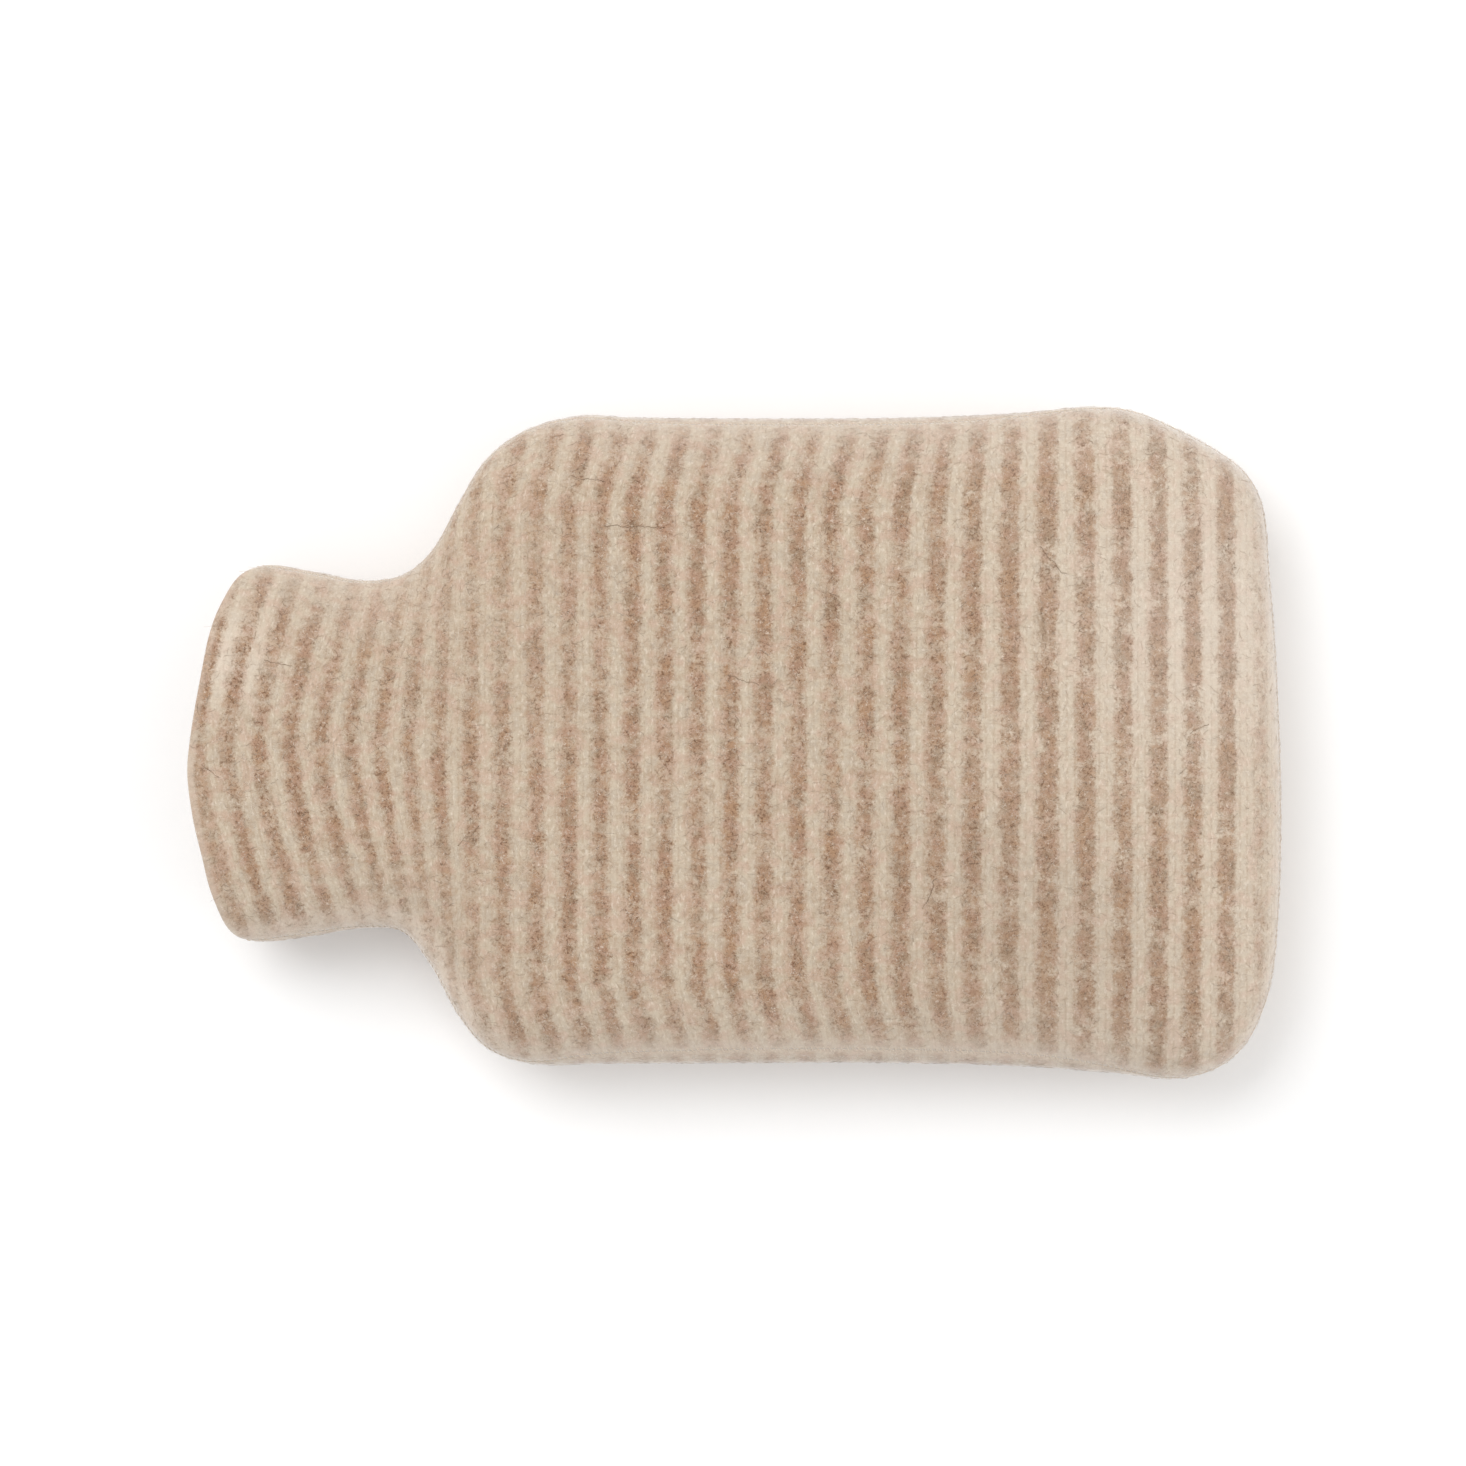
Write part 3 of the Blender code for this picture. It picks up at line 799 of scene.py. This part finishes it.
def stitched(finish, cream_yarn, course, wale, base_end):
    """Cream with faint columns of stitches along the stripes and short bars across them."""
    column = abs((course * STITCH_COLUMNS).part() - 0.5).falls(0.02, 0.26)
    along, across = course * PITCH, wale * PITCH
    dashes = finish.noise(1.0, 2.0, 0.6, at=finish.join(along / 0.9, across / 2.0))
    bars = finish.noise(1.0, 1.0, 0.5, at=finish.join(along / 2.6, across / 0.7))
    # Towards the base the cream is paler: partly the cleaner yarn there, partly painted light for
    # that brighter end.
    return finish.layers(
        cream_yarn,
        (column * dashes.rises(0.42, 0.58) * (0.50 + base_end * 0.40), CREAM_DEEP),
        (base_end * 0.20, PALE_FIBRE),
        (bars.rises(0.56, 0.70) * 0.35, CREAM_DEEP),
        (dashes.falls(0.30, 0.46) * 0.50, PALE_FIBRE))


def milled_knit():
    """The striped cloth: heather camel and cream yarn, milled until its stitches blur."""
    finish = Finish("milled_striped_lambswool")
    course = finish.first_part(finish.node("ShaderNodeUVMap", {"uv_map": "courses"}, {}))
    wale = course.also("Y")
    seam = finish.attribute("seam_distance")
    mouth = finish.attribute("mouth_distance")
    patches = finish.noise(11.0, 2.0, 0.6)
    blotches = finish.noise(2.8, 2.0, 0.6, 0.4)
    specks = finish.noise(0.95, 2.0, 0.7, 0.5)
    base_end = course.rises(20.0, 27.0)
    lower_half = wale.falls(-0.6, 0.6)
    # Along the lower edge of the neck the stripes fade, and a painted highlight lifts the cream
    # there.
    low_neck = seam.falls(7.0, 14.0) * lower_half * course.falls(8.0, 13.0)
    painted_light_corner = finish.spot(PAINTED_LIGHT_CORNER)

    # The stripes vary in strength along their length, and are cleaner towards the base.
    camel = camel_share(finish, course, 1.0 - base_end * 0.35)
    strength = 0.60 + patches.rises(0.37, 0.62) * 0.55 + (blotches - 0.5) * 1.5
    strength = strength + (specks - 0.5) * 0.9 - base_end * 0.10
    camel = (camel * strength).least(1.0).most(0.0)
    crisp = camel.rises(0.10, 0.62) * 0.81
    camel = camel + (crisp - camel) * base_end * 0.6
    haze = finish.noise(7.0, 2.0, 0.6, shift=(5.0, 71.0, 40.0))
    haze = haze.rises(0.48, 0.76) * (0.34 - base_end * 0.28)
    camel = camel.most(haze) * seam.rises(0.3, 2.2)

    # They blur where the neck meets the body, and along the seam and the mouth.
    worn = finish.spot(WORN_SHOULDER).most(finish.spot(WORN_HOLLOW))
    worn = worn.most(seam.falls(1.0, 14.0) * 0.34)
    worn = worn.most(mouth.falls(2.0, 9.0) * lower_half * 0.42)
    worn = worn.most(low_neck * 0.65)
    camel = camel * (1.0 - worn) + worn * (blotches * 0.7 - 0.05)

    camel_yarn, cream_yarn = mottled_yarns(finish, blotches)
    cream_yarn = stitched(finish, cream_yarn, course, wale, base_end)
    # Painted highlight: the cream is mixed towards pale fibre near the mouth, along the lower edge
    # of the neck and at the upper right corner.
    cream_highlight = finish.spot(MOUTH_HIGHLIGHT).most(low_neck * 0.58).most(painted_light_corner * 0.36)
    cream_yarn = finish.mix(cream_highlight, cream_yarn, PALE_FIBRE)
    colour = finish.mix(camel, cream_yarn, camel_yarn)

    # Dark specks of heather, mostly in the camel, and curled fibres over both.
    clumps = finish.noise(3.6, 1.0, 0.5)
    dark = specks.rises(0.50, 0.66) * (camel * 0.66 + 0.07) * clumps.rises(0.30, 0.62)
    broken = finish.noise(1.7, 1.0).rises(0.44, 0.60)
    pale_curls = finish.curls(0.050) * broken
    dark_curls = finish.curls(0.042, shift=(31.0, 7.0, 3.0)) * (1.0 - broken)
    colour = finish.layers(
        colour,
        (dark, CAMEL_DARK),
        (pale_curls * (0.32 + camel * 0.33), PALE_FIBRE),
        (dark_curls * (0.13 + camel * 0.71), CAMEL_DARK))

    # Painted shade darkens one corner. Painted highlight makes the cloth pale along the seam, the
    # upper edge, the base end and the upper right corner, held back at the upper shoulder, and a
    # pale rim runs round the mouth.
    # The painted highlight is held back on the upper shoulder, as painted shade.
    away_from_shoulder = 1.0 - finish.spot(SHOULDER_SHADE)
    # Painted highlight: pale along the seam, wider along the upper edge, strongest at the base end
    # and the upper right corner.
    edge = seam.falls(0.5, 8.0) * (lower_half * 0.08 + 0.14)
    edge = edge.most(seam.falls(8.0, 32.0) * (0.11 - lower_half * 0.05))
    base_edge = seam.falls(2.0, 11.0) * course.rises(25.0, 29.0) * (0.40 - lower_half * 0.14)
    edge = edge.most(painted_light_corner * 0.13).most(base_edge)
    rim = mouth.falls(0.2, 1.8) * (lower_half * 0.08 + 0.24) * (0.4 + specks * 1.2)
    colour = finish.layers(
        colour,
        (finish.spot(SHADED_CORNER), CAMEL_DARK),
        (seam.falls(0.0, 11.0) * away_from_shoulder * 0.24, PALE_FIBRE),
        (edge * away_from_shoulder, EDGE_HIGHLIGHT),
        (rim, PALE_FIBRE))

    felt = specks * 0.5 + blotches * 0.35 + pale_curls * 0.30
    return finish.done(Base_Color=colour, Normal=finish.bump(felt, 0.0005, 0.5), **FELTED)


def seam_yarn():
    """Cream yarn of the seam, felted into the cloth."""
    finish = Finish("felted_cream_yarn")
    tone = finish.noise(3.0, 2.0, 0.6)
    fuzz = finish.curls(0.05)
    # The yarn is cream; its steady share of pale fibre is painted light, matching the painted
    # highlight along the seam.
    colour = finish.layers(
        CREAM, (tone.rises(0.35, 0.65) * 0.6, CREAM_WARM), (fuzz * 0.4 + 0.3, PALE_FIBRE))
    normal = finish.bump(tone + fuzz * 0.5, 0.0004, 0.4)
    return finish.done(Base_Color=colour, Normal=normal, **FELTED)


def loose_fibres():
    """Fibres of both yarns: each takes the colour of the stripe that it grows from."""
    finish = Finish("loose_lambswool_fibres")
    course = finish.first_part(finish.attribute("courses", "Vector"))
    seam = finish.attribute("seam_distance")
    chance = finish.attribute("chance")
    camel = camel_share(finish, course, 0.3) * seam.rises(1.0, 8.0)
    camel_fibre = finish.layers(
        CAMEL_DARK, (chance.rises(0.0, 0.8), CREAM_DEEP), (chance.rises(0.70, 0.80), CREAM))
    cream_fibre = finish.layers(
        CREAM_DEEP, (chance.rises(0.1, 0.6), PALE_FIBRE), (seam.falls(1.0, 8.0), CREAM))
    colour = finish.mix(camel * 0.8, cream_fibre, camel_fibre)
    return finish.done(Base_Color=colour, Roughness=0.9, Sheen_Weight=0.3,
                       Sheen_Roughness=0.5, Specular_IOR_Level=0.1)


def dark_hair():
    """The few longer dark hairs that lie across the stripes."""
    finish = Finish("long_dark_wool_hairs")
    tone = finish.noise(4.0, 1.0)
    colour = finish.mix(tone.rises(0.35, 0.65), CAMEL_DARK, CAMEL_GREY)
    return finish.done(Base_Color=colour, Roughness=0.8, Specular_IOR_Level=0.3)


def pale_floor():
    """The matt white sheet of a light table, which glows a little."""
    finish = Finish("white_light_table")
    grain = finish.noise(40.0, 2.0, 0.5)
    colour = finish.mix(grain, (0.89, 0.89, 0.89, 1.0), (0.91, 0.91, 0.91, 1.0))
    return finish.done(Base_Color=colour, Roughness=0.9, Specular_IOR_Level=0.1,
                       Emission_Color=WHITE, Emission_Strength=FLOOR_GLOW)


# ---- Nap, long hairs and the seam's stitches, in metres ----

NAP_DENSITY = 135000.0     # fibres on a square metre
NAP_LENGTH = 0.0021
NAP_THICKNESS = 0.00008
NAP_POINTS = 4             # points along a fibre
NAP_CURL = 1.8             # how far a fibre bends sideways, in fibre lengths
NAP_LIFT = 0.06            # how high its arch stands off the cloth, in fibre lengths
NAP_CLOUDS = 420.0         # clouds on a metre, for the direction of the bend
STITCH_PITCH = 0.0019
STITCH_WIDTH = 0.0024
STITCH_TURNS = (0.25, 0.75)  # slant of the stitches, in radians
STITCH_SIZES = (0.85, 1.15)  # how much they differ in size
SEAM_YARN = 0.0004         # thickness of the yarn
HAIR_THICKNESS = 0.00012
HAIR_POINTS = 40           # points along a hair
HAIR_WAVE = 0.0038         # how far a hair strays from its straight line
HAIR_CLOUDS = 230.0        # clouds on a metre, for the way it strays

# Long dark hairs on the upper face, placed by their middles, in millimetres and degrees.
Hair = namedtuple("Hair", "x y turn length")
HAIRS = [
    Hair(-33.0, 68.0, -3.0, 19.0),
    Hair(-46.0, 89.0, -12.0, 12.0),
    Hair(147.0, 5.0, 24.0, 8.0),
    Hair(-145.0, 25.0, -14.0, 9.0),
    Hair(-167.5, -9.2, -34.0, 7.0),
    Hair(-147.3, 54.6, 90.0, 2.4),
    Hair(62.0, -47.0, 65.0, 11.0),
    Hair(4.0, 21.0, 160.0, 10.0),
    Hair(-84.0, -30.0, 40.0, 9.0),
    Hair(101.0, 58.0, -48.0, 12.0),
]


class Growth(Nodes):
    """A Geometry Nodes tree with named inputs, which grows a piece from a mesh."""

    def __init__(self, name):
        super().__init__(bpy.data.node_groups.new(name, "GeometryNodeTree"))
        for way in ("INPUT", "OUTPUT"):
            self.tree.interface.new_socket(
                "Geometry", in_out=way, socket_type="NodeSocketGeometry")
        self.entry = self.tree.nodes.new("NodeGroupInput")
        self.exit = self.tree.nodes.new("NodeGroupOutput")
        self.values = {}

    def size(self, name, value):
        """Add a named input with its value, and return what it gives inside the tree."""
        item = self.tree.interface.new_socket(
            name, in_out="INPUT", socket_type="NodeSocketFloat")
        self.values[item.identifier] = value
        return Term(self, self.entry.outputs[name])

    def start(self):
        return Term(self, self.entry.outputs["Geometry"])

    def named(self, name, kind="FLOAT_VECTOR"):
        """An attribute of the geometry, by its name."""
        return self.node("GeometryNodeInputNamedAttribute", {"data_type": kind}, {"Name": name})

    def marked(self, geometry, name, kind, value):
        """The geometry with a value stored at each of its points."""
        return self.node("GeometryNodeStoreNamedAttribute",
                         {"data_type": kind, "domain": "POINT"},
                         {"Geometry": geometry, "Name": name, "Value": value})

    def chance(self, low, high, seed):
        """A random number for each point."""
        return self.node("FunctionNodeRandomValue", {"data_type": "FLOAT"},
                         {2: low, 3: high, "Seed": seed}, output=1)

    def place(self):
        return self.node("GeometryNodeInputPosition", {}, {})

    def clouds(self, scale, detail):
        """A vector round zero that wanders from place to place."""
        colour = self.node(
            "ShaderNodeTexNoise", {},
            {"Vector": self.place(), "Scale": scale, "Detail": detail}, output="Color")
        return self.vector("ADD", colour, (-0.5, -0.5, -0.5))

    def line(self, start, end, count):
        """A straight line along X, as a curve with a number of points."""
        line = self.node("GeometryNodeCurvePrimitiveLine", {},
                         {"Start": (start, 0.0, 0.0), "End": (end, 0.0, 0.0)})
        return self.node("GeometryNodeResampleCurve", {}, {"Curve": line, "Count": count})

    def upright(self, second_axis, direction):
        """The rotation with Z away from the cloth and a second axis along a direction."""
        return self.node(
            "FunctionNodeAxesToRotation", {"primary_axis": "Z", "secondary_axis": second_axis},
            {"Primary Axis": self.named("way_up"), "Secondary Axis": direction})

    def spun(self, rotation, angle):
        """A rotation with a further turn round its own Z."""
        return self.node("FunctionNodeRotateRotation", {"rotation_space": "LOCAL"},
                         {"Rotation": rotation, "Rotate By": self.join(z=angle)})

    def copies(self, points, shape, rotation, scale):
        """A copy of a shape at each point, as real geometry."""
        placed = self.node("GeometryNodeInstanceOnPoints", {}, {
            "Points": points, "Instance": shape, "Rotation": rotation, "Scale": scale})
        return self.node("GeometryNodeRealizeInstances", {}, {"Geometry": placed})

    def moved(self, geometry, **places):
        """The geometry with its points at a Position or moved by an Offset."""
        return self.node("GeometryNodeSetPosition", {}, {"Geometry": geometry, **places})

    def tube(self, curve, thickness, sides):
        """A closed tube along a curve."""
        profile = self.node("GeometryNodeCurvePrimitiveCircle", {"mode": "RADIUS"},
                            {"Resolution": sides, "Radius": thickness * 0.5})
        return self.node("GeometryNodeCurveToMesh", {},
                         {"Curve": curve, "Profile Curve": profile, "Fill Caps": True})

    def grow(self, geometry, name, mesh, material):
        """End the tree, and add the plain mesh that it makes from a mesh as a new object."""
        real = self.node("GeometryNodeRealizeInstances", {}, {"Geometry": geometry})
        done = self.node("GeometryNodeSetMaterial", {},
                         {"Geometry": real, "Material": material})
        self.feed(self.exit.inputs["Geometry"], done)
        carrier = add_object(name + "_carrier", mesh)
        modifier = carrier.modifiers.new("growth", "NODES")
        modifier.node_group = self.tree
        for identifier, value in self.values.items():
            modifier[identifier] = value
        graph = bpy.context.evaluated_depsgraph_get()
        data = bpy.data.meshes.new_from_object(carrier.evaluated_get(graph))
        data.name = name
        data.materials.clear()
        data.materials.append(material)
        bpy.data.objects.remove(carrier)
        return add_object(name, data)


def add_nap(knit, material, seed):
    """Short curled fibres that lie on the outside of a panel."""
    tree = Growth("nap")
    density = tree.size("Fibres per square metre", NAP_DENSITY)
    length = tree.size("Fibre length", NAP_LENGTH)
    thickness = tree.size("Fibre thickness", NAP_THICKNESS)
    spread = tree.node(
        "GeometryNodeDistributePointsOnFaces", {"distribute_method": "RANDOM"},
        {"Mesh": tree.start(), "Selection": tree.named("fluffy", "BOOLEAN"),
         "Density": density, "Seed": seed})
    points = tree.marked(spread, "chance", "FLOAT", tree.chance(0.0, 1.0, seed + 1))
    points = tree.marked(points, "way_up", "FLOAT_VECTOR", spread.also("Normal"))

    # Each fibre starts as a straight line that lies flat and points any way.
    rotation = tree.spun(spread.also("Rotation"), tree.chance(0.0, 2.0 * math.pi, seed + 2))
    fibres = tree.copies(points, tree.line(0.0, 1.0, NAP_POINTS), rotation,
                         length * tree.chance(0.5, 1.4, seed + 3))

    # It bends sideways and lifts a little off the cloth in an arch.
    along = tree.node("GeometryNodeSplineParameter", {}, {})
    wander = tree.scaled(tree.clouds(NAP_CLOUDS, 0.0), along)
    wander = tree.scaled(wander, length * NAP_CURL)
    way_up = tree.named("way_up")
    upward = tree.vector("DOT_PRODUCT", wander, way_up, output="Value")
    arch = along * (1.0 - along) * 4.0
    lift = arch * (length * NAP_LIFT) + thickness * 0.3
    rise = tree.scaled(way_up, lift - upward)
    bent = tree.moved(fibres, Offset=tree.vector("ADD", wander, rise))
    name = knit.name.replace("knit", "nap")
    return tree.grow(tree.tube(bent, thickness, sides=3), name, knit.data.copy(), material)


def hair_roots(skin):
    """The middles of the long hairs on the cloth, each with its length and the way it lies."""
    top = skin.grids["front"].ravel()
    plan = skin.points[top, :2]
    rows = [top[np.linalg.norm(plan - (hair.x, hair.y), axis=1).argmin()] for hair in HAIRS]
    turns = np.radians([hair.turn for hair in HAIRS])
    ahead = np.stack([np.cos(turns), np.sin(turns), 0.0 * turns], axis=-1)
    mesh = new_mesh("hair_roots", skin.points[rows])
    store_attribute(mesh, "way_up", "FLOAT_VECTOR", skin.normals[rows])
    store_attribute(mesh, "ahead", "FLOAT_VECTOR", ahead)
    store_attribute(mesh, "reach", "FLOAT", [hair.length * MM for hair in HAIRS])
    return mesh


def add_hairs(skin, cloth):
    """Long hairs that wave a little and follow the face of the cloth."""
    tree = Growth("long_hairs")
    thickness = tree.size("Hair thickness", HAIR_THICKNESS)
    wave = tree.size("Wave", HAIR_WAVE)
    rotation = tree.upright("X", tree.named("ahead"))
    hairs = tree.copies(tree.start(), tree.line(-0.5, 0.5, HAIR_POINTS), rotation,
                        tree.named("reach", "FLOAT"))
    waved = tree.moved(hairs, Offset=tree.scaled(tree.clouds(HAIR_CLOUDS, 2.0), wave))

    # Then each point is drawn onto the nearest place on the cloth, just clear of it.
    face = tree.node("GeometryNodeObjectInfo", {}, {"Object": cloth}, output="Geometry")
    nearest = tree.node("GeometryNodeProximity", {"target_element": "FACES"},
                        {0: face, 2: tree.place()}, output="Position")
    outwards = tree.node("GeometryNodeSampleNearestSurface", {"data_type": "FLOAT_VECTOR"},
                         {"Mesh": face, "Value": tree.node("GeometryNodeInputNormal", {}, {}),
                          "Sample Position": tree.place()})
    clear = tree.scaled(outwards, thickness * 1.5)
    laid = tree.moved(waved, Position=tree.vector("ADD", nearest, clear))
    hairs = tree.tube(laid, thickness, sides=4)
    return tree.grow(hairs, "long_hairs", hair_roots(skin), dark_hair())


def seam_path(skin, panel):
    """The seam as a line of points that know which way is up."""
    row = skin.bands["front"][0]
    edges = [(k, k + 1) for k in range(len(row) - 1)]
    mesh = new_mesh("seam_path", panel.outer[row], edges)
    store_attribute(mesh, "way_up", "FLOAT_VECTOR", skin.normals[row])
    return mesh


def add_stitches(path):
    """Slanting stitches of yarn that bind the two panels along the path of the seam."""
    tree = Growth("stitches")
    pitch = tree.size("Stitch pitch", STITCH_PITCH)
    width = tree.size("Stitch width", STITCH_WIDTH)
    thickness = tree.size("Yarn thickness", SEAM_YARN)
    curve = tree.node("GeometryNodeMeshToCurve", {}, {"Mesh": tree.start()})
    points = tree.node("GeometryNodeResampleCurve", {"mode": "LENGTH"},
                       {"Curve": curve, "Length": pitch})
    rotation = tree.upright("Y", tree.node("GeometryNodeInputTangent", {}, {}))
    rotation = tree.spun(rotation, tree.chance(*STITCH_TURNS, 5))

    # A stitch is a low arch of yarn across the seam, with both ends sunk into the cloth.
    half = width * 0.5
    sunk = thickness * -0.35
    arch = tree.node(
        "GeometryNodeCurveQuadraticBezier", {},
        {"Resolution": 6, "Start": tree.join(half * -1.0, z=sunk),
         "Middle": tree.join(z=thickness * 0.75), "End": tree.join(half, z=sunk)})
    stitches = tree.copies(points, tree.tube(arch, thickness, sides=6), rotation,
                           tree.chance(*STITCH_SIZES, 9))
    return tree.grow(stitches, "seam_stitches", path, seam_yarn())


# ---- Camera, floor and light, in metres ----

VIEW_WIDTH = 0.4690                     # across the picture, at the widest line
VIEW_CENTRE = (-0.0003, 0.0030)
VIEW_LEVEL = 0.0250                     # height of the widest line
CAMERA_HEIGHT = 2.4
SENSOR = 36.0                           # millimetres
FLOOR_SIZE = 24.0
FLOOR_GLOW = 0.115
ROOM_LIGHT = 0.66                       # white light from all round

Light = namedtuple("Light", "name place target size power")
LIGHTS = [
    Light("key_light", (-1.25, 1.25, 2.2), (0.0, 0.0, 0.0), 2.2, 48.5),
    Light("reflector", (1.6, -0.3, 0.6), (0.1, 0.0, 0.03), 1.2, 9.5),
]


def add_camera():
    """A long lens straight above the cover."""
    data = bpy.data.cameras.new("camera")
    data.sensor_width = SENSOR
    data.lens = SENSOR * (CAMERA_HEIGHT - VIEW_LEVEL) / VIEW_WIDTH
    data.clip_start, data.clip_end = 0.05, 20.0
    camera = add_object("camera", data)
    camera.location = (*VIEW_CENTRE, CAMERA_HEIGHT)
    bpy.context.scene.camera = camera


def add_studio():
    """White floor, soft light from the upper left and light from all round."""
    half = FLOOR_SIZE / 2
    mesh = bpy.data.meshes.new("floor")
    mesh.from_pydata([(-half, -half, 0), (half, -half, 0), (half, half, 0), (-half, half, 0)],
                     [], [(0, 1, 2, 3)])
    mesh.materials.append(pale_floor())
    add_object("floor", mesh)
    for row in LIGHTS:
        data = bpy.data.lights.new(row.name, "AREA")
        data.size = row.size
        data.energy = row.power
        light = add_object(row.name, data)
        light.location = row.place
        aim = Vector(row.target) - Vector(row.place)
        light.rotation_euler = aim.to_track_quat("-Z", "Y").to_euler()
    world = bpy.data.worlds.new("studio")
    world.use_nodes = True
    background = world.node_tree.nodes["Background"]
    background.inputs["Color"].default_value = WHITE
    background.inputs["Strength"].default_value = ROOM_LIGHT
    bpy.context.scene.world = world
    bpy.context.scene.view_settings.view_transform = "Standard"


# ---- The cover ----

def build_cover():
    """Both panels, their nap, and the seam."""
    skin = Skin()
    cloth = milled_knit()
    front = Panel(skin, "front_knit", "front", slip=0.0, shorter=0.0)
    back = Panel(skin, "back_knit", "back", slip=BACK_SLIP, shorter=BACK_SHORTER)
    front_knit, back_knit = front.added(cloth), back.added(cloth)
    stitches = add_stitches(seam_path(skin, front))
    fibre = loose_fibres()
    front_nap = add_nap(front_knit, fibre, seed=11)
    back_nap = add_nap(back_knit, fibre, seed=47)
    hairs = add_hairs(skin, front_knit)

    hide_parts("front_panel")
    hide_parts("back_panel")
    for piece, slot in ((front_knit, "front_cloth"), (back_knit, "back_cloth"),
                        (stitches, "front_cloth"), (front_nap, "front_cloth"),
                        (hairs, "front_cloth"), (back_nap, "back_cloth")):
        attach(piece, "root")


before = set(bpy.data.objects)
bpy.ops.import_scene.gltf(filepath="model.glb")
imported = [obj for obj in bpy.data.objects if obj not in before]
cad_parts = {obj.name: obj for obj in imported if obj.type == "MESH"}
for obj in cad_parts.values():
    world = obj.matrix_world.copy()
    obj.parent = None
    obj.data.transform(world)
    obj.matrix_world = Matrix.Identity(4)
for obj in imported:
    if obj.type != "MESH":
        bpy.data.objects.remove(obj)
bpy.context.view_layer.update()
add_camera()
add_studio()
build_cover()
